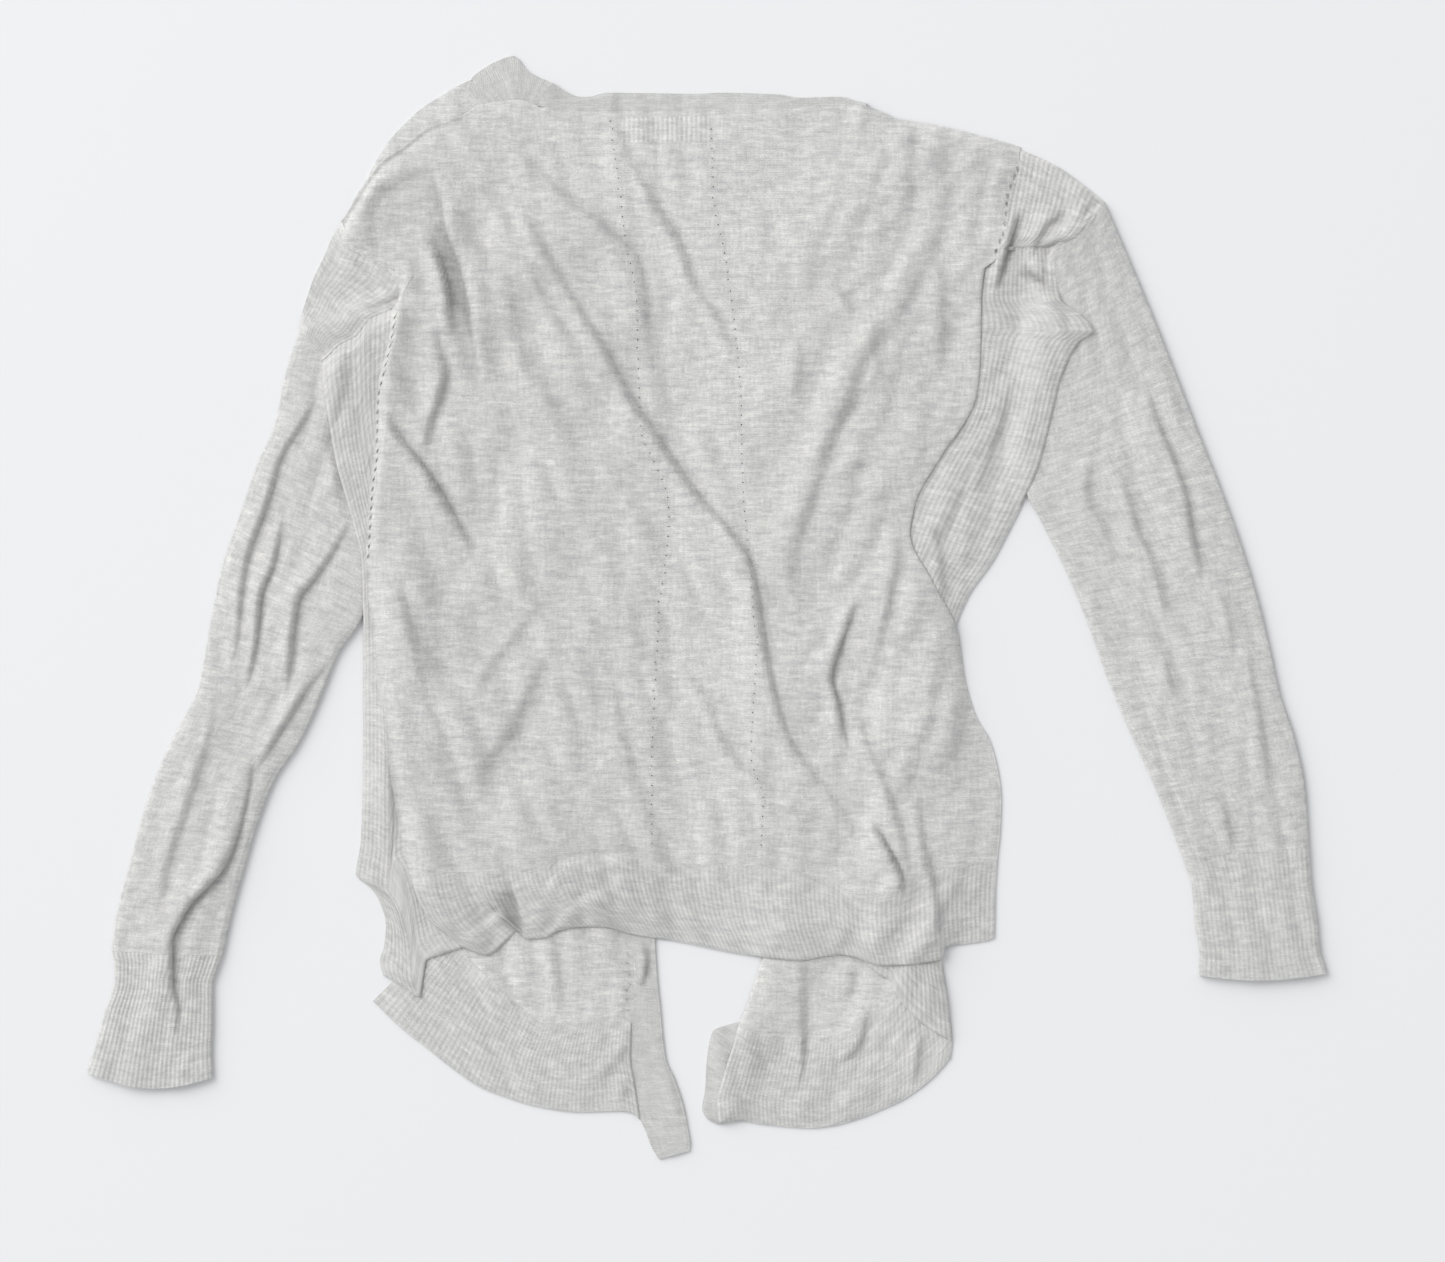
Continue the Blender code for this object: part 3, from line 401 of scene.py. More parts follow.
# Each crease: rise of the ridge, dip of the slit, steep and soft widths of the ridge, the side of
# the line on which the ridge lies (1 right, -1 left, walking the line), lean over the slit, and
# the line
BACK_CREASES = (
    (4.6, 0.8, 3.2, 17, 1, 1.4, ((-131, 282), (-118, 258), (-101, 228), (-83, 198), (-67, 172),
        (-51, 142), (-31, 112), (-5, 75), (15, 52), (29, 32), (35, 5), (39, -22), (44, -48), (53, -80),
        (60, -94), (82, -122), (97, -143), (102, -158))),
    (4.6, 2.4, 2.8, 13, -1, 1.8, ((-188, 295), (-178, 272), (-174, 250), (-168, 235), (-163, 218),
        (-158, 194), (-155, 172), (-152, 150))),
    (4.2, 2, 3, 9, 1, 1, ((-186, 243), (-180, 239), (-175, 226), (-171, 212), (-170, 198),
        (-167, 182))),
    (3, 1.6, 3.4, 10, 1, 0.6, ((-181, 188), (-177, 172), (-173, 155), (-177, 138), (-183, 118),
        (-185, 102))),
    (4.2, 1.5, 2.4, 14, 1, 1.4, ((-214, 130), (-211, 126), (-202, 111), (-189, 95), (-174, 72),
        (-163, 52), (-153, 35))),
    (2.6, 0.9, 3.4, 14, 1, 0.5, ((-125, 305), (-98, 278), (-65, 252), (-45, 232), (-39, 205),
        (-38, 178), (-33, 160))),
    (2.6, 0.9, 3.4, 13, 1, 0.6, ((-59, 326), (-48, 298), (-35, 272), (-18, 245), (-5, 212), (9, 192),
        (22, 165))),
    (2.6, 0.6, 6, 18, 1, 0, ((-168, 272), (-151, 245), (-131, 219), (-125, 199), (-118, 165),
        (-101, 138), (-85, 112), (-71, 78))),
    (2.2, 0.6, 4, 12, 1, 0.4, ((-150, 280), (-135, 264), (-115, 223), (-101, 197), (-83, 174),
        (-66, 150))),
    (2.6, 0.5, 6, 20, 1, 0, ((122, 192), (109, 165), (99, 138), (89, 112), (75, 72), (65, 45),
        (59, 12), (53, -8))),
    (2.4, 0.8, 4, 14, 1, 0.4, ((132, 52), (129, 32), (123, 2), (117, -25), (112, -48), (103, -56))),
    (3.6, 1.8, 2.2, 10, 1, 1.8, ((101, 5), (90, -22), (83, -48), (87, -62), (91, -82), (96, -95))),
    (2.6, 0.8, 3.6, 12, 1, 0.6, ((99, -62), (109, -92), (122, -122), (132, -155), (137, -182),
        (139, -198))),
    (3.6, 1.8, 2, 10, 1, 1.8, ((109, -142), (117, -154), (124, -167), (129, -178), (131, -192))),
    (2.8, 0.8, 3.6, 12, 1, 0.6, ((142, -122), (145, -155), (152, -182), (155, -198), (157, -228))),
    (3, 0.9, 3.6, 13, 1, 0.6, ((-110, -188), (-99, -170), (-86, -165), (-58, -163), (-31, -168),
        (-5, -182))),
    (3.6, 1.4, 2.8, 10, 1, 0.8, ((-111, -220), (-98, -203), (-85, -192), (-71, -185), (-55, -176))),
    (4.6, 2.6, 3.6, 9, -1, 1, ((-133, -186), (-129, -194), (-127, -204), (-124, -218))),
    (3.4, 1.8, 3, 9, 1, 0.6, ((-168, -219), (-155, -210), (-142, -202), (-130, -193))),
    (2.4, 0.7, 4, 13, 1, 0.4, ((-20, -33), (1, -59), (14, -91), (27, -106), (46, -122), (75, -128))),
    (1.8, 0.5, 5, 12, 1, 0, ((-47, 12), (-43, -20), (-38, -48))),
    (2.2, 0.6, 5, 14, 1, 0.3, ((-98, -28), (-115, -55), (-125, -80), (-141, -102), (-151, -122))),
    (1.8, 0.5, 5, 13, 1, 0, ((-101, 12), (-125, -22), (-145, -48), (-151, -75))),
    (1.6, 0.5, 5, 12, 1, 0, ((-58, -48), (-51, -88), (-45, -122))),
    (2, 0.6, 4, 10, 1, 0.3, ((-205, 32), (-195, -15), (-185, -55))),
    (1.6, 0.5, 4, 10, 1, 0, ((-158, 12), (-155, -2), (-148, -15))),
    (2, 0.5, 4, 12, 1, 0.3, ((85, 220), (101, 195))),
    (1.8, 0.5, 4, 12, 1, 0, ((54, 189), (64, 170), (62, 138))),
    (1.8, 0.5, 4, 12, 1, 0, ((155, 245), (159, 205), (159, 152))),
    (1.8, 0.5, 4, 12, 1, 0, ((111, 189), (117, 160), (97, 130), (89, 118))),
    (1.8, 0.5, 4, 10, 1, 0, ((119, 318), (149, 305), (175, 288))),
    (2.4, 0.8, 3, 9, -1, 0.5, ((-219, 228), (-222, 240), (-224, 262), (-215, 278), (-198, 285),
        (-185, 292))),
    (0, 2.6, 5, 6, 1, 0, ((-135, -192), (-131, -200), (-129, -207), (-127, -216))),
    (0, 2.4, 5, 6, 1, 0, ((-180, 254), (-175, 240), (-170, 226), (-166, 212), (-162, 196),
        (-160, 178))),
    (0, 2, 1.6, 3, 1, 0, ((-248, 240), (-241, 258), (-230, 276), (-217, 294), (-202, 305),
        (-184, 318.5), (-164, 325.5), (-150, 333))),
)
LEFT_SLEEVE_CREASES = (
    (4.2, 1.5, 2.6, 13, 1, 1.2, ((-258, 138), (-271, 118), (-283, 98), (-289, 78), (-297, 55),
        (-305, 32), (-309, 5), (-311, -22), (-314, -38))),
    (3.6, 1.6, 2.4, 10, 1, 1, ((-281, 58), (-288, 28), (-296, 8), (-299, -22), (-305, -55))),
    (3, 0.6, 5, 18, 1, 0.2, ((-322, -28), (-325, -68), (-335, -108), (-343, -135), (-353, -162),
        (-358, -185), (-361, -215))),
    (3.6, 1.4, 2.6, 11, 1, 1, ((-235, 58), (-251, 32), (-261, 18), (-271, 5), (-275, -22),
        (-278, -62))),
    (3.4, 1.4, 2.6, 10, 1, 0.8, ((-248, -35), (-265, -55), (-278, -75), (-290, -95), (-299, -110))),
    (5, 2, 2.4, 15, 1, 2.2, ((-301, -98), (-303, -115), (-308, -138), (-317, -165), (-323, -176),
        (-333, -187), (-343, -197), (-351, -210), (-356, -222), (-355, -252), (-351, -268),
        (-353, -285))),
    (2, 0.6, 4, 10, 1, 0.3, ((-308, 58), (-315, 18))),
    (2, 0.6, 4, 10, 1, 0.3, ((-251, 118), (-245, 92), (-237, 58))),
)
RIGHT_SLEEVE_CREASES = (
    (4.2, 1.4, 3, 15, 1, 1, ((294, 148), (302, 122), (312, 98), (320, 75), (325, 45), (332, 18))),
    (2.4, 0.7, 4, 12, 1, 0.4, ((305, 172), (314, 142), (322, 115))),
    (2.4, 0.7, 4, 12, 1, 0.4, ((259, 98), (255, 78), (262, 62), (270, 45), (274, 32))),
    (2.8, 0.8, 4, 13, 1, 0.5, ((272, 98), (282, 78), (289, 52), (299, 32), (304, 12), (310, -8))),
    (2.2, 0.7, 4, 11, 1, 0.3, ((262, 12), (262, -8), (269, -18), (273, -32))),
    (2, 0.6, 4, 11, 1, 0.3, ((305, -32), (315, -62))),
    (3, 1, 3.4, 12, -1, 0.6, ((282, -52), (295, -78), (305, -112), (317, -145), (326, -172))),
    (2.4, 0.7, 4, 12, 1, 0.3, ((342, 12), (350, -8), (354, -35))),
    (2.6, 0.8, 4, 13, 1, 0.4, ((362, -25), (366, -48), (371, -75), (377, -122))),
    (2, 0.6, 4, 11, 1, 0.3, ((345, -128), (353, -162))),
)
SIDE_CREASES = (
    (4, 2.2, 2.4, 9, 1, 1, ((209, 262), (206, 254), (202, 242), (198, 230), (194, 212))),
    (4, 2.6, 2.6, 9, -1, 0.8, ((211, 226), (217, 221), (222, 217), (229, 211))),
    (2.4, 0.9, 3, 9, 1, 0.4, ((240, 262), (228, 254), (222, 244), (218, 232))),
    (2, 0.7, 4, 10, 1, 0.2, ((150, 60), (158, 30), (160, 0))),
    (2, 0.7, 4, 12, 1, 0.2, ((205, 150), (195, 110), (180, 75))),
    (2, 0.7, 4, 12, 1, 0.2, ((-212, -20), (-208, -90), (-204, -160))),
)
FRONT_CREASES = (
    (2.2, 0.7, 3.4, 10, 1, 0.4, ((-101, -222), (-98, -245), (-95, -272))),
    (2, 0.7, 3.4, 9, 1, 0.4, ((-50, -288), (-55, -300), (-63, -308), (-69, -318))),
    (1.8, 0.6, 3.4, 9, 1, 0.3, ((-49, -318), (-57, -328))),
    (2.6, 0.9, 3, 10, 1, 0.6, ((65, -235), (66, -268), (66, -302), (62, -322))),
    (2, 0.7, 3.4, 10, 1, 0.4, ((101, -238), (95, -262))),
    (2.4, 0.8, 3.2, 10, 1, 0.5, ((109, -268), (105, -288), (92, -302), (82, -305))),
    (2.2, 0.7, 3.2, 10, 1, 0.4, ((145, -285), (142, -308), (141, -318))),
)
BAND_CREASES = (
    (2.6, 2.2, 1.8, 6, 1, 0.6, ((-43, -222), (-39, -232), (-40, -243), (-43, -254))),
    (1.4, 0.6, 2.4, 7, 1, 0.4, ((-26, -305), (-21, -318), (-15, -342))),
)
NECK_CREASES = (
    (1.6, 0.6, 2, 8, 1, 0.3, ((-60, 345), (-59, 330))),
)


# Curves, edges and grids


def ease(share):
    return share ** 2 * (3 - 2 * share)


def running_total(steps):
    return np.concatenate(([0.0], np.cumsum(steps)))


def smooth_between(knots, values, wanted):
    """A curve through the knots that never overshoots them."""
    step = np.diff(knots)
    slope = np.diff(values) / step
    turn = np.zeros(len(knots))
    turn[0] = slope[0]
    turn[-1] = slope[-1]
    product = slope[:-1] * slope[1:]
    total = slope[:-1] + slope[1:]
    same_way = product > 0
    turn[1:-1] = np.where(same_way, 2 * product / np.where(same_way, total, 1.0), 0.0)
    k = np.clip(np.searchsorted(knots, wanted, side="right") - 1, 0, len(step) - 1)
    t = (wanted - knots[k]) / step[k]
    start = (1 + 2 * t) * (1 - t) ** 2 * values[k] + t * (1 - t) ** 2 * step[k] * turn[k]
    end = t ** 2 * (3 - 2 * t) * values[k + 1] - t ** 2 * (1 - t) * step[k] * turn[k + 1]
    return start + end


def straight_between(knots, points, wanted):
    """Points on the straight links between knots."""
    return np.stack([np.interp(wanted, knots, points[:, k]) for k in range(points.shape[1])], axis=-1)


def edge_points(table, axis, shares):
    """Points at shares of an edge's run along X (axis 0) or Y (axis 1)."""
    points = np.array(table, dtype=float)
    run = points[:, axis]
    wanted = run[0] + shares * (run[-1] - run[0])
    order = np.argsort(run, kind="stable")
    columns = [smooth_between(run[order], points[order, part], wanted) for part in (0, 1)]
    return np.stack(columns, axis=-1)


def fill_between(top, bottom, left, right, across, down):
    """Rows of points that fill the space inside four edges."""
    s = across[None, :, None]
    t = down[:, None, None]
    rows = (1 - t) * top[None] + t * bottom[None]
    left_shift = left[:, None] - rows[:, :1]
    right_shift = right[:, None] - rows[:, -1:]
    return rows + (1 - s) * left_shift + s * right_shift


def even(count):
    return np.linspace(0.0, 1.0, count + 1)


def fine_ends(length, step):
    """Shares along a length, closer together near both ends, where the cloth turns down."""
    near = np.array(NEAR_END)
    count = int(round((length - 2 * near[-1]) / step))
    middle = np.linspace(near[-1], length - near[-1], count + 1)[1:-1]
    return np.concatenate((near, middle, length - near[::-1])) / length


def run_of(line, spacing=4.0):
    """Evenly spaced points along a smooth curve through a line's corners."""
    corners = np.array(line, dtype=float)
    along = running_total(np.linalg.norm(np.diff(corners, axis=0), axis=1))
    wanted = np.linspace(0.0, along[-1], max(int(along[-1] / spacing), 2) + 1)
    return np.stack([smooth_between(along, corners[:, k], wanted) for k in (0, 1)], axis=-1)


def station_edges(sections):
    """A strip's two edges at even stations down its length, on smooth curves."""
    table = np.array(sections)
    middle = (table[:, :2] + table[:, 2:]) / 2
    along = running_total(np.linalg.norm(np.diff(middle, axis=0), axis=1))
    wanted = np.linspace(0.0, along[-1], int(along[-1] / STATION_STEP) + 1)
    edges = np.stack([smooth_between(along, table[:, k], wanted) for k in range(4)], axis=-1)
    return edges[:, :2], edges[:, 2:], wanted


def push_out(edge, side, spans):
    """An edge moved out beyond its eyelets, over spans of its run along Y."""
    tangent = np.gradient(edge, axis=0)
    tangent /= np.linalg.norm(tangent, axis=1)[:, None]
    outward = side * np.stack((-tangent[:, 1], tangent[:, 0]), axis=-1)
    share = np.zeros(len(edge))
    for low, high in spans:
        near = np.minimum(edge[:, 1] - low, high - edge[:, 1]) / EDGE_FADE
        share = np.maximum(share, np.clip(near, 0.0, 1.0))
    return edge + EYELET_INSIDE * share[:, None] * outward


def join(surface, row, edge):
    """Bring a sheet's first or last row onto another sheet's edge, easing back over a reach."""
    distance = np.linalg.norm(surface[..., :2] - surface[row, :, :2], axis=-1)
    share = np.clip(1 - distance / JOIN_REACH, 0.0, 1.0)
    return surface + ease(share)[..., None] * (edge - surface[row])


# The cloth's unevenness


def crease(plan, creases):
    """Height and sideways shift that creases give to points, and the painted shade each point gets in
    a crease's slit.
    """
    height = np.zeros(plan.shape[:-1])
    fold_painted_shade = np.zeros(plan.shape[:-1])
    shift = np.zeros(plan.shape)
    for rise, dip, steep, soft, side, lean, line in creases:
        route = run_of(line)
        reach = CREASE_REACH * soft
        near = np.all((plan > route.min(0) - reach) & (plan < route.max(0) + reach), axis=-1)
        points = plan[near]
        if not len(points):
            continue
        best = np.full(len(points), np.inf)
        along = np.zeros(len(points))
        sign = np.ones(len(points))
        over = np.zeros(points.shape)
        for k in range(len(route) - 1):
            link = route[k + 1] - route[k]
            length = np.linalg.norm(link)
            direction = link / length
            offset = points - route[k]
            share = np.clip(offset @ direction, 0.0, length)
            gap = np.linalg.norm(offset - share[:, None] * direction, axis=1)
            closer = gap < best
            best = np.where(closer, gap, best)
            along = np.where(closer, (k + share / length) / (len(route) - 1), along)
            right_hand = np.array((direction[1], -direction[0]))
            sign = np.where(closer, np.where(offset @ right_hand * side >= 0, 1.0, -1.0), sign)
            over = np.where(closer[:, None], -right_hand * side, over)
        # The slit is wider on the side away from the ridge, and a crease fades at both its ends
        q = best * sign
        fade = np.sin(np.pi * np.clip(along, 0.0, 1.0)) ** 0.6
        ridge = rise * (1 - np.exp(-(q / steep) ** 2)) * np.exp(-(q / soft) ** 2)
        slit = dip * np.exp(-(q / np.where(q > 0, steep, 2.2 * steep)) ** 2)
        height[near] += CREASE_GAIN * fade * (np.where(q > 0, ridge, 0.0) - slit)
        crest = lean * fade * np.exp(-((q - 1.2 * steep) / steep) ** 2)
        shift[near] += crest[:, None] * over
        # Painted shade along the slit, stronger where the slit dips more
        fold_painted_shade[near] += FOLD_SHADE * dip * fade * np.exp(-(q / steep) ** 2)
    return height, shift, np.clip(fold_painted_shade, 0.0, 1.0)


def broad_waves(plan):
    """The slight unevenness of cloth that was smoothed by hand: waves 70 to 110 mm long."""
    x = plan[..., 0]
    y = plan[..., 1]
    return (0.45 * np.sin(x / 17.0 + 0.6 * np.sin(y / 31.0) + 0.8)
            + 0.40 * np.sin((x + 1.7 * y) / 23.0 + 1.9)
            + 0.35 * np.sin((y - 0.6 * x) / 15.0 + 0.5 * np.sin(x / 27.0)))


def uneven_field(plan, seed, angle, shortest, longest, spread):
    """Uneven waves of many lengths that mostly run one way, with a variance near one."""
    rng = np.random.default_rng(seed)
    field = np.zeros(plan.shape[:-1])
    for _ in range(FIELD_WAVES):
        length = rng.uniform(shortest, longest)
        turn = rng.normal(angle, spread)
        phase = rng.uniform(0.0, 2 * np.pi)
        along = plan[..., 0] * np.cos(turn) + plan[..., 1] * np.sin(turn)
        field += np.sin(2 * np.pi * along / length + phase)
    return field / np.sqrt(FIELD_WAVES / 2)


def crumple(plan):
    """Small wrinkles. They run down each sleeve, and towards the middle of the hem on the back."""
    height = np.zeros(plan.shape[:-1])
    for seed, (angle, places, weights) in enumerate(WRINKLE_ZONES):
        weight = np.interp(plan[..., 0], places, weights)
        fine = uneven_field(plan, 2 * seed, angle, *FINE_WAVE)
        folded = uneven_field(plan, 2 * seed + 1, angle, *FOLDED_WAVE)
        folded = np.sqrt(folded ** 2 + FOLDED_ROUNDNESS)
        height += weight * (FINE_WRINKLE * fine + FOLDED_WRINKLE * folded)
    return height - 0.5 * FOLDED_WRINKLE


def rib_wave(count):
    """Height of the ribs where that many ribs have passed."""
    return -0.5 * RIB_RISE * np.cos(2 * np.pi * count)


class Pile:
    """Heights of the cloth already laid, kept on an even grid over the floor."""

    def __init__(self):
        rows = int(2 * FLOOR_HALF_Y / FLOOR_CELL) + 1
        columns = int(2 * FLOOR_HALF_X / FLOOR_CELL) + 1
        self.height = np.zeros((rows, columns))

    def add(self, surface):
        """Lay a surface, given as rows of x, y, z, on the pile, with no cell left out."""
        for axis in (0, 1):
            steps = np.linalg.norm(np.diff(surface[..., :2], axis=axis), axis=-1)
            parts = int(np.ceil(steps.max() / (0.7 * FLOOR_CELL)))
            count = surface.shape[axis]
            stations = np.linspace(0, count - 1, (count - 1) * parts + 1)
            low = np.minimum(stations.astype(int), count - 2)
            share = (stations - low).reshape((-1, 1, 1) if axis == 0 else (1, -1, 1))
            first = np.take(surface, low, axis=axis)
            second = np.take(surface, low + 1, axis=axis)
            surface = first * (1 - share) + second * share
        row = np.rint((surface[..., 1] + FLOOR_HALF_Y) / FLOOR_CELL).astype(int)
        column = np.rint((surface[..., 0] + FLOOR_HALF_X) / FLOOR_CELL).astype(int)
        np.maximum.at(self.height, (row, column), surface[..., 2])

    @staticmethod
    def spread(field, reach, combine):
        """Each cell combined with all cells within a reach, and how many those are."""
        cells = int(round(reach / FLOOR_CELL))
        total = field.copy()
        count = 1
        for i in range(-cells, cells + 1):
            for j in range(-cells, cells + 1):
                if (i or j) and i * i + j * j <= cells * cells:
                    total = combine(total, np.roll(field, (i, j), axis=(0, 1)))
                    count += 1
        return total, count

    @staticmethod
    def look_up(field, plan):
        """The field's value at points between its cells."""
        column = (plan[..., 0] + FLOOR_HALF_X) / FLOOR_CELL
        row = (plan[..., 1] + FLOOR_HALF_Y) / FLOOR_CELL
        low_row = row.astype(int)
        low_column = column.astype(int)
        u = row - low_row
        v = column - low_column
        near = field[low_row, low_column] * (1 - v) + field[low_row, low_column + 1] * v
        far = field[low_row + 1, low_column] * (1 - v) + field[low_row + 1, low_column + 1] * v
        return near * (1 - u) + far * u

    def rest(self, plan):
        """Height on which a sheet rests, height of the cloth straight beneath, and the share of cloth
        beneath, which sets the painted light on a lone layer.
        """
        raised, _ = self.spread(self.height, SPREAD_REACH, np.maximum)
        total, count = self.spread(raised, SMOOTH_REACH, np.add)
        ground = self.look_up(total / count, plan)
        beneath, count = self.spread(self.height, FLOOR_CELL, np.add)
        backing = np.clip(ground / JERSEY_WALL, 0.0, 1.0)
        return ground, self.look_up(beneath / count, plan), backing


# Meshes and pieces


def new_grid(points, uv, backing, fold_painted_shade):
    """A grid of faces moved onto rows of points that run down the cloth."""
    rows, columns = points.shape[:2]
    mesh_data = bmesh.new()
    bmesh.ops.create_grid(mesh_data, x_segments=columns - 1, y_segments=rows - 1, size=1.0)
    places = (points[::-1] * MM).reshape(-1, 3).tolist()
    for vert, place in zip(mesh_data.verts, places):
        vert.co = place
    mesh = bpy.data.meshes.new("grid")
    mesh_data.to_mesh(mesh)
    order = np.empty(len(mesh.loops), dtype=np.int32)
    mesh.loops.foreach_get("vertex_index", order)
    layer = mesh.uv_layers.new(name="UVMap")
    layer.data.foreach_set("uv", (uv[::-1].reshape(-1, 2) * MM)[order].ravel())
    # Each point keeps the share of cloth beneath it, for the painted light on a lone layer, and the
    # painted shade of crease slits; the rims of holes take their painted shade later
    for name, values in (("backing", backing), ("fold_painted_shade", fold_painted_shade)):
        field = mesh.attributes.new(name, "FLOAT", "POINT")
        field.data.foreach_set("value", values[::-1].ravel())
    mesh.attributes.new("eyelet_painted_shade", "FLOAT", "POINT")
    mesh_data.clear()
    mesh_data.from_mesh(mesh)
    bpy.data.meshes.remove(mesh)
    return mesh_data


def eyelets_along(line, inside):
    """Places of eyelets at their step along a line, or beside it towards its left."""
    route = run_of(line, spacing=1.0)
    along = running_total(np.linalg.norm(np.diff(route, axis=0), axis=1))
    wanted = np.arange(0.5 * EYELET_STEP, along[-1], EYELET_STEP)
    ahead = straight_between(along, route, wanted + 1.0)
    direction = ahead - straight_between(along, route, wanted - 1.0)
    direction /= np.linalg.norm(direction, axis=1)[:, None]
    left_hand = np.stack((-direction[:, 1], direction[:, 0]), axis=-1)
    return straight_between(along, route, wanted) + inside * left_hand


def holes_along(rows):
    """Places, half width and shade of the holes in each row of eyelets."""
    return [(eyelets_along(line, inside), half, shade) for line, inside, half, shade in rows]


def pierce(mesh_data, places, half, shade):
    """Eyelets: the nearest point of the cloth moves to each place, if close, and opens to a hole whose
    rim takes a painted shade.
    """
    mesh_data.verts.ensure_lookup_table()
    tree = KDTree(len(mesh_data.verts))
    for k, vert in enumerate(mesh_data.verts):
        tree.insert((vert.co.x, vert.co.y, 0.0), k)
    tree.balance()
    opened = []
    for x, y in places:
        _, k, away = tree.find((x * MM, y * MM, 0.0))
        vert = mesh_data.verts[k]
        if vert in opened or vert.is_boundary:
            continue
        if away < EYELET_SHIFT * MM:
            vert.co.x = x * MM
            vert.co.y = y * MM
        opened.append(vert)
    layer = mesh_data.verts.layers.float["eyelet_painted_shade"]
    for middle in opened:
        made = bmesh.ops.bevel(mesh_data, geom=[middle], offset=half * MM, offset_type="OFFSET",
                               segments=1, profile=0.5, affect="VERTICES", material=-1)
        # The rim of each hole takes its painted shade, standing in for the shadow inside the hole
        for face in made["faces"]:
            for vert in face.verts:
                vert[layer] = shade
        bmesh.ops.delete(mesh_data, geom=made["faces"], context="FACES")


def set_order(mesh_data):
    """Points, edges and faces sorted by their places, so that every run gives the same mesh."""
    for parts, middle in ((mesh_data.verts, lambda vert: vert.co),
                          (mesh_data.edges, lambda edge: edge.verts[0].co + edge.verts[1].co),
                          (mesh_data.faces, lambda face: face.calc_center_median())):
        parts.sort(key=lambda part: ROW_STRIDE * middle(part).y + middle(part).x)


def show(name, data):
    thing = bpy.data.objects.new(name, data)
    bpy.context.scene.collection.objects.link(thing)
    return thing


def knit_piece(name, mesh_data, cloth):
    """A piece of cloth with its wall, in the place of the solid of that name."""
    for edge in mesh_data.edges:
        edge.smooth = not edge.is_boundary
    mesh = bpy.data.meshes.new(name + "_knit")
    mesh_data.to_mesh(mesh)
    mesh_data.free()
    for face in mesh.polygons:
        face.use_smooth = True
    mesh.materials.append(cloth.finish)
    piece = show(name + "_knit", mesh)
    solid = piece.modifiers.new("wall", "SOLIDIFY")
    solid.thickness = cloth.wall * MM
    solid.offset = -1.0
    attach(piece, "root")
    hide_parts(name)


def edge_turns(plan, edges):
    """How each edge ends: its rise above what lies beneath, how far the cloth has turned down
    to it at each point, and how settled the cloth still is there."""
    ends = {"left": (plan[:, :1], 1), "right": (plan[:, -1:], 1),
            "top": (plan[:1], 0), "bottom": (plan[-1:], 0)}
    turns = []
    for side, (rise, run, soft), low, high in edges:
        end, axis = ends[side]
        along = end[..., axis]
        weight = np.clip(np.minimum(along - low, high - along) / EDGE_FADE + 0.5, 0.0, 1.0)
        distance = np.linalg.norm(plan - end, axis=-1)
        share = 1 - np.clip(distance / run, 0.0, 1.0)
        turned = ease(share) if soft else 1 - np.sqrt(np.clip(1 - share ** 2, 0.0, 1.0))
        settled = 1 - weight * (1 - np.clip(distance / SETTLE_RUN, 0.0, 1.0) ** 0.7)
        turns.append((rise, weight * turned, settled))
    return turns


def lay(name, plan, pile, cloth, loft, creases, edges, uv, ridges=0.0, holes=(), joined=None):
    """Lay a sheet over the pile, and give back its upper surface."""
    height, shift, fold_painted_shade = crease(plan, creases)
    turns = edge_turns(plan, edges)
    settled = np.ones(plan.shape[:-1])
    for _, _, still in turns:
        settled = np.minimum(settled, still)
    plan = plan + shift * settled[..., None]
    ground, beneath, backing = pile.rest(plan)
    body = settled * (loft + broad_waves(plan) + crumple(plan))
    body = body + height * (CREASE_AT_EDGE + (1 - CREASE_AT_EDGE) * settled)
    body = np.maximum(np.where(body < 0, HOLLOW_SHARE * body, body), LOWEST)
    level = ground + cloth.wall + body
    for rise, turned, _ in turns:
        level = level * (1 - turned) + (beneath + rise) * turned
    surface = np.dstack((plan, level + ridges))
    if joined is not None:
        surface = join(surface, *joined)
    surface[..., 2] = np.maximum(surface[..., 2], cloth.wall)
    mesh_data = new_grid(surface, uv, backing, fold_painted_shade)
    for places, half, shade in holes:
        pierce(mesh_data, places, half, shade)
    if holes:
        set_order(mesh_data)
    knit_piece(name, mesh_data, cloth)
    return surface


def lay_ribbed(name, outline, pile, creases, edges, top=None, bottom=None):
    """Lay a ribbed sheet. Where top is given it hangs from that row, and its ribs grow out of it.
    Where bottom is given it ends on that row."""
    width, step, loft, rise = RIBBED[name]
    ribs = int(round(width / RIB_PITCH))
    across = even(ribs * COLUMNS_PER_RIB)
    length = abs(outline["left"][0][1] - outline["left"][-1][1])
    down = fine_ends(length, step)
    grown = np.ones(len(down))
    joined = None
    if bottom is None:
        low = edge_points(outline["bottom"], 0, across)
    else:
        joined = (-1, bottom)
        low = bottom[:, :2]
    if top is None:
        high = edge_points(outline["top"], 0, across)
    else:
        run = top[:, 0]
        edge = straight_between(run, top, run[0] + across * (run[-1] - run[0]))
        joined = (0, edge)
        high = edge[:, :2]
        grown = np.clip(down * length / RIB_GROWS, 0.0, 1.0)
    plan = fill_between(high, low, edge_points(outline["left"], 1, down),
                        edge_points(outline["right"], 1, down), across, down)
    lengths = running_total(np.linalg.norm(np.diff(plan, axis=0), axis=-1).mean(axis=1))
    uv = np.dstack(np.meshgrid(across * ribs * RIB_PITCH, -lengths))
    return lay(name, plan, pile, RIB, loft, creases, edges, uv,
               ridges=rise * grown[:, None] * rib_wave(across * ribs), joined=joined)


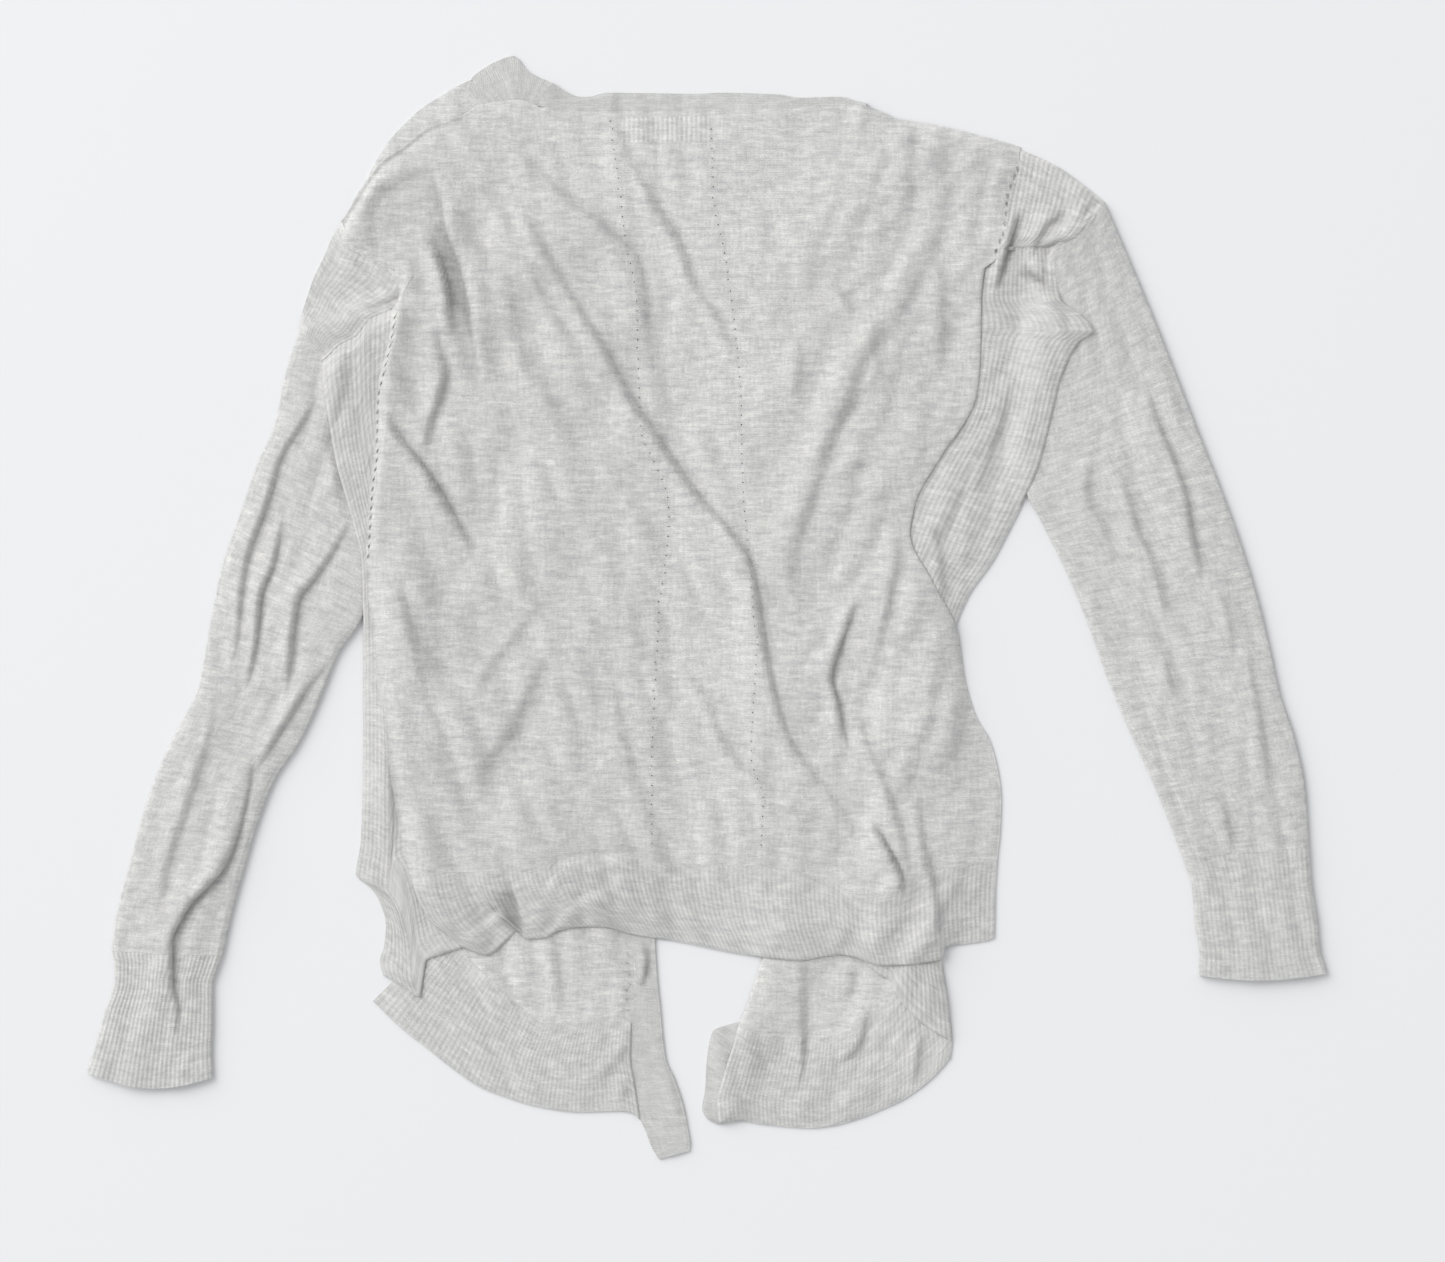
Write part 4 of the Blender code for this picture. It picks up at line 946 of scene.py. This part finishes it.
def lay_tube(name, sections, creases, cloth, puff, bow=0.0, ribs=0):
    """A flattened tube of cloth that lies on the floor, open at both ends. Its columns run round it:
    the near side from below to above, the top, the far side, and back along the floor."""
    near_edge, far_edge, along = station_edges(sections)
    middle = even(ribs * COLUMNS_PER_RIB if ribs else SLEEVE_COLUMNS)[1:-1]
    under = even(UNDERSIDE_PARTS)[-2:0:-1]
    radius = cloth.wall + TUBE_HOLLOW / 2 + TUBE_SLACK
    bend = np.radians(np.linspace(270.0, 90.0, TURN_POINTS))
    side_x = radius + radius * np.cos(bend)
    side_z = radius + radius * np.sin(bend)
    width = np.linalg.norm(far_edge - near_edge, axis=1)[:, None]
    offsets = np.concatenate([
        np.broadcast_to(side_x, (len(width), TURN_POINTS)),
        radius + (width - 2 * radius) * middle[None],
        width - np.broadcast_to(side_x[::-1], (len(width), TURN_POINTS)),
        radius + (width - 2 * radius) * under[None],
        np.broadcast_to(side_x[:1], (len(width), 1))], axis=1)
    plan = near_edge[:, None] + (far_edge - near_edge)[:, None] * (offsets / width)[..., None]
    levels = np.concatenate([side_z, np.full(len(middle), 2 * radius), side_z[::-1],
                             np.zeros(len(under)), side_z[:1]])
    levels = np.broadcast_to(levels, offsets.shape).copy()

    # Only the top is uneven, and it keeps still at both sides
    top = slice(TURN_POINTS, TURN_POINTS + len(middle))
    window = np.sin(np.pi * middle) ** TUBE_SHOULDER
    height, shift, tube_fold_painted_shade = crease(plan[:, top], creases)
    body = window * (puff + height + TUBE_WAVES * broad_waves(plan[:, top]) + crumple(plan[:, top]))
    body = np.maximum(np.where(body < 0, HOLLOW_SHARE * body, body), TUBE_LOWEST)
    levels[:, top] += body + (rib_wave(middle * ribs) if ribs else 0.0)
    plan[:, top] += shift * window[None, :, None]
    hang = np.clip((along / along[-1] - 0.5) * 2.0, 0.0, 1.0)[:, None] * bow
    plan[..., 1] -= hang * np.sin(np.pi * np.clip(offsets / width, 0.0, 1.0))
    surface = np.dstack((plan, levels))

    around = running_total(np.linalg.norm(np.diff(surface, axis=1), axis=-1).mean(axis=0))
    if ribs:
        around[top] = around[TURN_POINTS - 1] + RIB_PITCH * ribs * middle
    uv = np.dstack(np.meshgrid(around, -along))
    # Painted shade in the slits of the creases on the top
    fold_painted_shade = np.zeros(offsets.shape)
    fold_painted_shade[:, top] = tube_fold_painted_shade * window
    mesh_data = new_grid(surface, uv, np.ones(offsets.shape), fold_painted_shade)
    bmesh.ops.remove_doubles(mesh_data, verts=mesh_data.verts, dist=0.00002)
    bmesh.ops.recalc_face_normals(mesh_data, faces=mesh_data.faces)
    highest = max(mesh_data.faces, key=lambda face: face.calc_center_median().z)
    if highest.normal.z < 0:
        bmesh.ops.reverse_faces(mesh_data, faces=mesh_data.faces)
    knit_piece(name, mesh_data, cloth)
    return surface[:, top.start - 1:top.stop + 1]


# Finishes


def new_node(tree, kind, operation=None):
    node = tree.nodes.new("ShaderNode" + kind)
    if operation:
        node.operation = operation
    return node


def put(tree, source, socket):
    if isinstance(source, bpy.types.NodeSocket):
        tree.links.new(source, socket)
    else:
        socket.default_value = source


def maths(tree, operation, first, second=0.0):
    node = new_node(tree, "Math", operation)
    put(tree, first, node.inputs[0])
    put(tree, second, node.inputs[1])
    return node.outputs[0]


def times(tree, first, second):
    return maths(tree, "MULTIPLY", first, second)


def ramp(tree, value, slope, base):
    return maths(tree, "ADD", times(tree, value, slope), base)


def field_value(tree, name):
    node = new_node(tree, "Attribute")
    node.attribute_name = name
    return node.outputs["Fac"]


def speckle(tree, place, stretch, detail):
    """Uneven spots, so many to a metre each way."""
    scaled = new_node(tree, "VectorMath", "MULTIPLY")
    put(tree, place, scaled.inputs[0])
    scaled.inputs[1].default_value = stretch
    noise = new_node(tree, "TexNoise")
    noise.inputs["Scale"].default_value = 1.0
    noise.inputs["Detail"].default_value = detail
    put(tree, scaled.outputs[0], noise.inputs["Vector"])
    return noise.outputs["Fac"]


def stitch_pattern(tree, u, v):
    """Each stitch is two slanting legs that meet in the middle of its wale."""
    wales = maths(tree, "DIVIDE", u, WALE * MM)
    from_middle = maths(tree, "SUBTRACT", maths(tree, "FRACT", wales), 0.5)
    leg = times(tree, maths(tree, "ABSOLUTE", from_middle), 2.0)
    courses = maths(tree, "ADD", maths(tree, "DIVIDE", v, COURSE * MM), times(tree, leg, 0.55))
    row = maths(tree, "SINE", times(tree, maths(tree, "FRACT", courses), np.pi))
    column = maths(tree, "SINE", times(tree, leg, np.pi))
    return times(tree, row, ramp(tree, column, 0.75, 0.25))


def neck_patch(tree, place):
    """Painted rib shading of the little ribbed rectangle below the neckband: a wave lighter and darker
    across its ribs.
    """
    parts = new_node(tree, "SeparateXYZ")
    put(tree, place, parts.inputs[0])
    inside = 1.0
    for value, (low, high) in zip(parts.outputs, NECK_PATCH):
        inside = times(tree, maths(tree, "GREATER_THAN", value, low), inside)
        inside = times(tree, maths(tree, "LESS_THAN", value, high), inside)
    turn = times(tree, parts.outputs[0], 2 * np.pi / (RIB_PITCH * MM))
    wave = times(tree, maths(tree, "SINE", turn), inside)
    return ramp(tree, wave, NECK_PATCH_SHADE, 1.0)


def knit_finish(name, marl, stitch_depth, lone_layer_painted_light, ribbed=False, patched=False):
    """A knitted yarn: marl streaks along the courses, stitches, ribs and a soft nap, with painted
    shade in rib valleys, crease slits and on the rims of holes, and painted light on a lone layer.
    """
    material = bpy.data.materials.new(name)
    material.use_nodes = True
    tree = material.node_tree
    shader = tree.nodes["Principled BSDF"]
    uv_map = new_node(tree, "UVMap")
    uv_map.uv_map = "UVMap"
    uv = uv_map.outputs[0]
    place = new_node(tree, "TexCoord").outputs["Object"]
    parts = new_node(tree, "SeparateXYZ")
    put(tree, uv, parts.inputs[0])
    u, v = parts.outputs[:2]

    streak = speckle(tree, uv, MARL_STREAK, 3.0)
    fleck = speckle(tree, uv, MARL_FLECK, 2.0)
    stitch = stitch_pattern(tree, u, v)
    tone = ramp(tree, stitch, 0.16, 0.92)
    for spots, amount in ((fleck, 0.8 * marl),
                          (speckle(tree, uv, PLY, 1.0), 0.8 * marl),
                          (speckle(tree, place, CLOUD, 2.0), 0.10),
                          (speckle(tree, uv, WALE_TONE, 1.0), 0.55 * marl)):
        centred = maths(tree, "SUBTRACT", spots, 0.5)
        tone = times(tree, tone, ramp(tree, centred, amount, 1.0))
    if ribbed:
        # Painted shade in the valleys between the ribs
        turn = times(tree, u, 2 * np.pi / (RIB_PITCH * MM))
        valley = ramp(tree, maths(tree, "COSINE", turn), 0.5, 0.5)
        tone = times(tree, tone, ramp(tree, valley, -RIB_SHADE, 1.0))
    if patched:
        tone = times(tree, tone, neck_patch(tree, place))
    # Painted light on cloth that lies alone on the floor, standing in for light through the single
    # layer, then painted shade on the rims of holes and in crease slits
    alone = maths(tree, "SUBTRACT", 1.0, field_value(tree, "backing"))
    for value, amount in ((alone, lone_layer_painted_light), (field_value(tree, "eyelet_painted_shade"), EYELET_RIM_PAINTED_SHADE),
                          (field_value(tree, "fold_painted_shade"), CREASE_PAINTED_SHADE)):
        tone = times(tree, tone, ramp(tree, value, amount, 1.0))

    tinted = new_node(tree, "VectorMath", "MULTIPLY_ADD")
    put(tree, maths(tree, "SUBTRACT", streak, 0.5), tinted.inputs[0])
    tinted.inputs[1].default_value = [marl * part for part in MARL_TINT]
    tinted.inputs[2].default_value = YARN
    toned = new_node(tree, "VectorMath", "SCALE")
    put(tree, tinted.outputs[0], toned.inputs[0])
    put(tree, tone, toned.inputs["Scale"])
    put(tree, toned.outputs[0], shader.inputs["Base Color"])
    for socket, value in (("Roughness", 0.92), ("Specular IOR Level", 0.25),
                          ("Sheen Weight", 0.25), ("Sheen Roughness", 0.5)):
        shader.inputs[socket].default_value = value

    relief = maths(tree, "ADD", times(tree, stitch, stitch_depth),
                   times(tree, fleck, 0.35 * stitch_depth))
    bump = new_node(tree, "Bump")
    bump.inputs["Strength"].default_value = 0.6
    bump.inputs["Distance"].default_value = 0.0004
    put(tree, relief, bump.inputs["Height"])
    put(tree, bump.outputs[0], shader.inputs["Normal"])
    return material


Cloth = namedtuple("Cloth", "wall slot finish")
JERSEY = Cloth(JERSEY_WALL, "jersey_knit", knit_finish("jersey_yarn", 0.58, 1.0, 0.05, patched=True))
RIB = Cloth(RIB_WALL, "rib_knit", knit_finish("rib_yarn", 0.52, 0.9, 0.03, ribbed=True))
BAND = Cloth(BAND_WALL, "band_knit", knit_finish("band_yarn", 0.4, 1.3, 0.0))


# The pieces, in the order in which they are laid


def lay_bands(pile):
    for name, sections in (("left_front_band", LEFT_BAND), ("right_front_band", RIGHT_BAND)):
        left, right, along = station_edges(sections)
        width = float(np.linalg.norm(left - right, axis=1).mean())
        shares = fine_ends(width, width / BAND_COLUMNS)
        share = shares[None, :, None]
        plan = left[:, None] * (1 - share) + right[:, None] * share
        uv = np.dstack(np.meshgrid(shares * width, -along))
        pile.add(lay(name, plan, pile, BAND, BAND_LOFT, BAND_CREASES, BOTH_SIDES, uv))


def lay_fronts(pile):
    """Each front, and the ribbed hem that hangs from it. The seam side is held in two spans."""
    across = fine_ends(FRONT_WIDTH, FRONT_STEP)
    down = fine_ends(FRONT_LENGTH, FRONT_STEP)
    edges = (("left", PLAIN_EDGE, *ALL), ("right", SEAM_EDGE, -500.0, 200.0),
             ("right", SEAM_EDGE, 200.0, 500.0), ("top", PLAIN_EDGE, *ALL))
    surfaces = []
    for name, front, hem, holes in (
            ("left_front", LEFT_FRONT, LEFT_FRONT_HEM, holes_along(FRONT_EYELETS)),
            ("right_front", RIGHT_FRONT, RIGHT_FRONT_HEM, ())):
        plan = fill_between(edge_points(front["top"], 0, across),
                            edge_points(front["bottom"], 0, across),
                            edge_points(front["left"], 1, down),
                            edge_points(front["right"], 1, down), across, down)
        surfaces.append(lay(name, plan, pile, JERSEY, FRONT_LOFT, FRONT_CREASES, edges, plan,
                            holes=holes))
        surfaces.append(lay_ribbed(name + "_hem_rib", hem, pile, FRONT_CREASES, HEM_EDGES,
                                   top=surfaces[-1][-1]))
    return surfaces


def lay_sleeves():
    surfaces = []
    for side, sleeve, cuff, creases, bow in (
            ("left", LEFT_SLEEVE, LEFT_CUFF, LEFT_SLEEVE_CREASES, LEFT_CUFF_BOW),
            ("right", RIGHT_SLEEVE, RIGHT_CUFF, RIGHT_SLEEVE_CREASES, RIGHT_CUFF_BOW)):
        surfaces.append(lay_tube(side + "_sleeve", sleeve, creases, JERSEY, SLEEVE_PUFF))
        surfaces.append(lay_tube(side + "_cuff", cuff, creases, RIB, CUFF_PUFF, bow, CUFF_RIBS))
    return surfaces


def lay_sides(pile):
    left_edges = (("left", FOLDED_EDGE, *ALL), ("right", PLAIN_EDGE, *ALL),
                  ("bottom", PLAIN_EDGE, *ALL), ("top", SEAM_EDGE, *ALL))
    right_edges = (("left", PLAIN_EDGE, *ALL), ("right", FOLDED_EDGE, -500.0, 208.0),
                   ("right", SEAM_EDGE, 208.0, 500.0), ("bottom", PLAIN_EDGE, *ALL))
    return (lay_ribbed("left_side_panel", LEFT_SIDE, pile, SIDE_CREASES, left_edges),
            lay_ribbed("right_side_panel", RIGHT_SIDE, pile, SIDE_CREASES, right_edges))


def lay_shoulders(pile, left_side, right_side):
    """The shoulder panels. The right one flows into its side panel, the left one lies on its own."""
    right = lay_ribbed("right_shoulder_rib", RIGHT_SHOULDER, pile, SIDE_CREASES,
                       (("top", FOLDED_EDGE, *ALL), ("right", SEAM_EDGE, *ALL)),
                       bottom=right_side[2] + np.array((0.0, 0.0, SHOULDER_OVERLAP)))
    pile.add(left_side)
    pile.add(right_side)
    left = lay_ribbed("left_shoulder_rib", LEFT_SHOULDER, pile, SIDE_CREASES,
                      (("left", FOLDED_EDGE, *ALL), ("right", SEAM_EDGE, *ALL),
                       ("bottom", SEAM_EDGE, *ALL)))
    pile.add(left)
    pile.add(right)


def lay_back(pile):
    """The back, with its ribbed hem below and the neckband above."""
    across = fine_ends(BACK_WIDTH, BACK_STEP)
    down = fine_ends(BACK_LENGTH, BACK_STEP)
    left = push_out(edge_points(BACK["left"], 1, down), -1.0, ((20.0, 205.0), (222.0, 252.0)))
    right = push_out(edge_points(BACK["right"], 1, down), 1.0, ((226.0, 300.0),))
    plan = fill_between(edge_points(BACK["top"], 0, across), edge_points(BACK["bottom"], 0, across),
                        left, right, across, down)
    edges = (("left", SEAM_EDGE, *ALL), ("right", SEAM_EDGE, 228.0, 500.0),
             ("right", FOLDED_EDGE, -500.0, 228.0), ("top", FOLDED_EDGE, -500.0, -110.0),
             ("top", FOLDED_EDGE, 108.0, 500.0))
    surface = lay("back_panel", plan, pile, JERSEY, BACK_LOFT, BACK_CREASES, edges, plan,
                  holes=holes_along(BACK_EYELETS))
    lay_ribbed("back_hem_rib", BACK_HEM, pile, BACK_CREASES, HEM_EDGES, top=surface[-1])

    # The neckband's lower edge is the back's own, and starts a little before its upper edge
    edge = plan[0]
    start = NECK_BAND_TOP[0][0] - NECK_OVERHANG
    lower = edge[(edge[:, 0] > start) & (edge[:, 0] < NECK_BAND_TOP[-1][0])]
    shares = (lower[:, 0] - lower[0, 0]) / (lower[-1, 0] - lower[0, 0])
    upper = edge_points(NECK_BAND_TOP, 0, shares)
    share = fine_ends(NECK_WIDTH, NECK_STEP)[:, None, None]
    band = upper[None] * (1 - share) + lower[None] * share
    lay("neck_band", band, pile, BAND, NECK_LOFT, NECK_CREASES, (("top", PLAIN_EDGE, *ALL),), band)


def hang(name, lamp, place, aim):
    """A light at a place, turned to shine along an aim."""
    holder = show(name, lamp)
    holder.location = place
    holder.rotation_euler = Vector(aim).to_track_quat("-Z", "Y").to_euler()


def set_studio():
    """A pale floor, soft light from the upper left, and the camera straight above."""
    mesh_data = bmesh.new()
    bmesh.ops.create_grid(mesh_data, x_segments=1, y_segments=1, size=6.0)
    bmesh.ops.translate(mesh_data, verts=mesh_data.verts, vec=(0.0, 0.0, -0.0002))
    mesh = bpy.data.meshes.new("floor")
    mesh_data.to_mesh(mesh)
    mesh_data.free()
    paint = bpy.data.materials.new("floor_white")
    paint.use_nodes = True
    shader = paint.node_tree.nodes["Principled BSDF"]
    for socket, value in (("Base Color", (0.80, 0.80, 0.81, 1.0)), ("Roughness", 0.9),
                          ("Specular IOR Level", 0.1)):
        shader.inputs[socket].default_value = value
    mesh.materials.append(paint)
    show("floor", mesh)

    window = bpy.data.lights.new("window", "AREA")
    window.shape = "RECTANGLE"
    window.size = 2.4
    window.size_y = 2.4
    window.energy = 34.0
    hang("window", window, (-2.6, 1.7, 2.6), (2.6, -1.7, -2.6))
    sun = bpy.data.lights.new("low_daylight", "SUN")
    sun.energy = 1.75
    sun.angle = np.radians(55.0)
    hang("low_daylight", sun, (0.0, 0.0, 0.0), (0.80, -0.55, -0.62))
    world = bpy.data.worlds.new("room")
    world.use_nodes = True
    sky = world.node_tree.nodes["Background"]
    sky.inputs["Color"].default_value = (0.97, 0.98, 1.0, 1.0)
    sky.inputs["Strength"].default_value = 0.66
    bpy.context.scene.world = world

    lens = bpy.data.cameras.new("overhead")
    lens.sensor_width = 36.0
    lens.lens = 112.1
    camera = show("overhead", lens)
    camera.location = (0.0103, -0.0157, 3.0)
    bpy.context.scene.camera = camera
    bpy.context.scene.view_settings.view_transform = "Standard"


def corners(box):
    return [[float(value) for value in corner] for corner in box]


set_studio()
pile = Pile()
lay_bands(pile)
for surface in lay_fronts(pile) + lay_sleeves():
    pile.add(surface)
lay_shoulders(pile, *lay_sides(pile))
lay_back(pile)
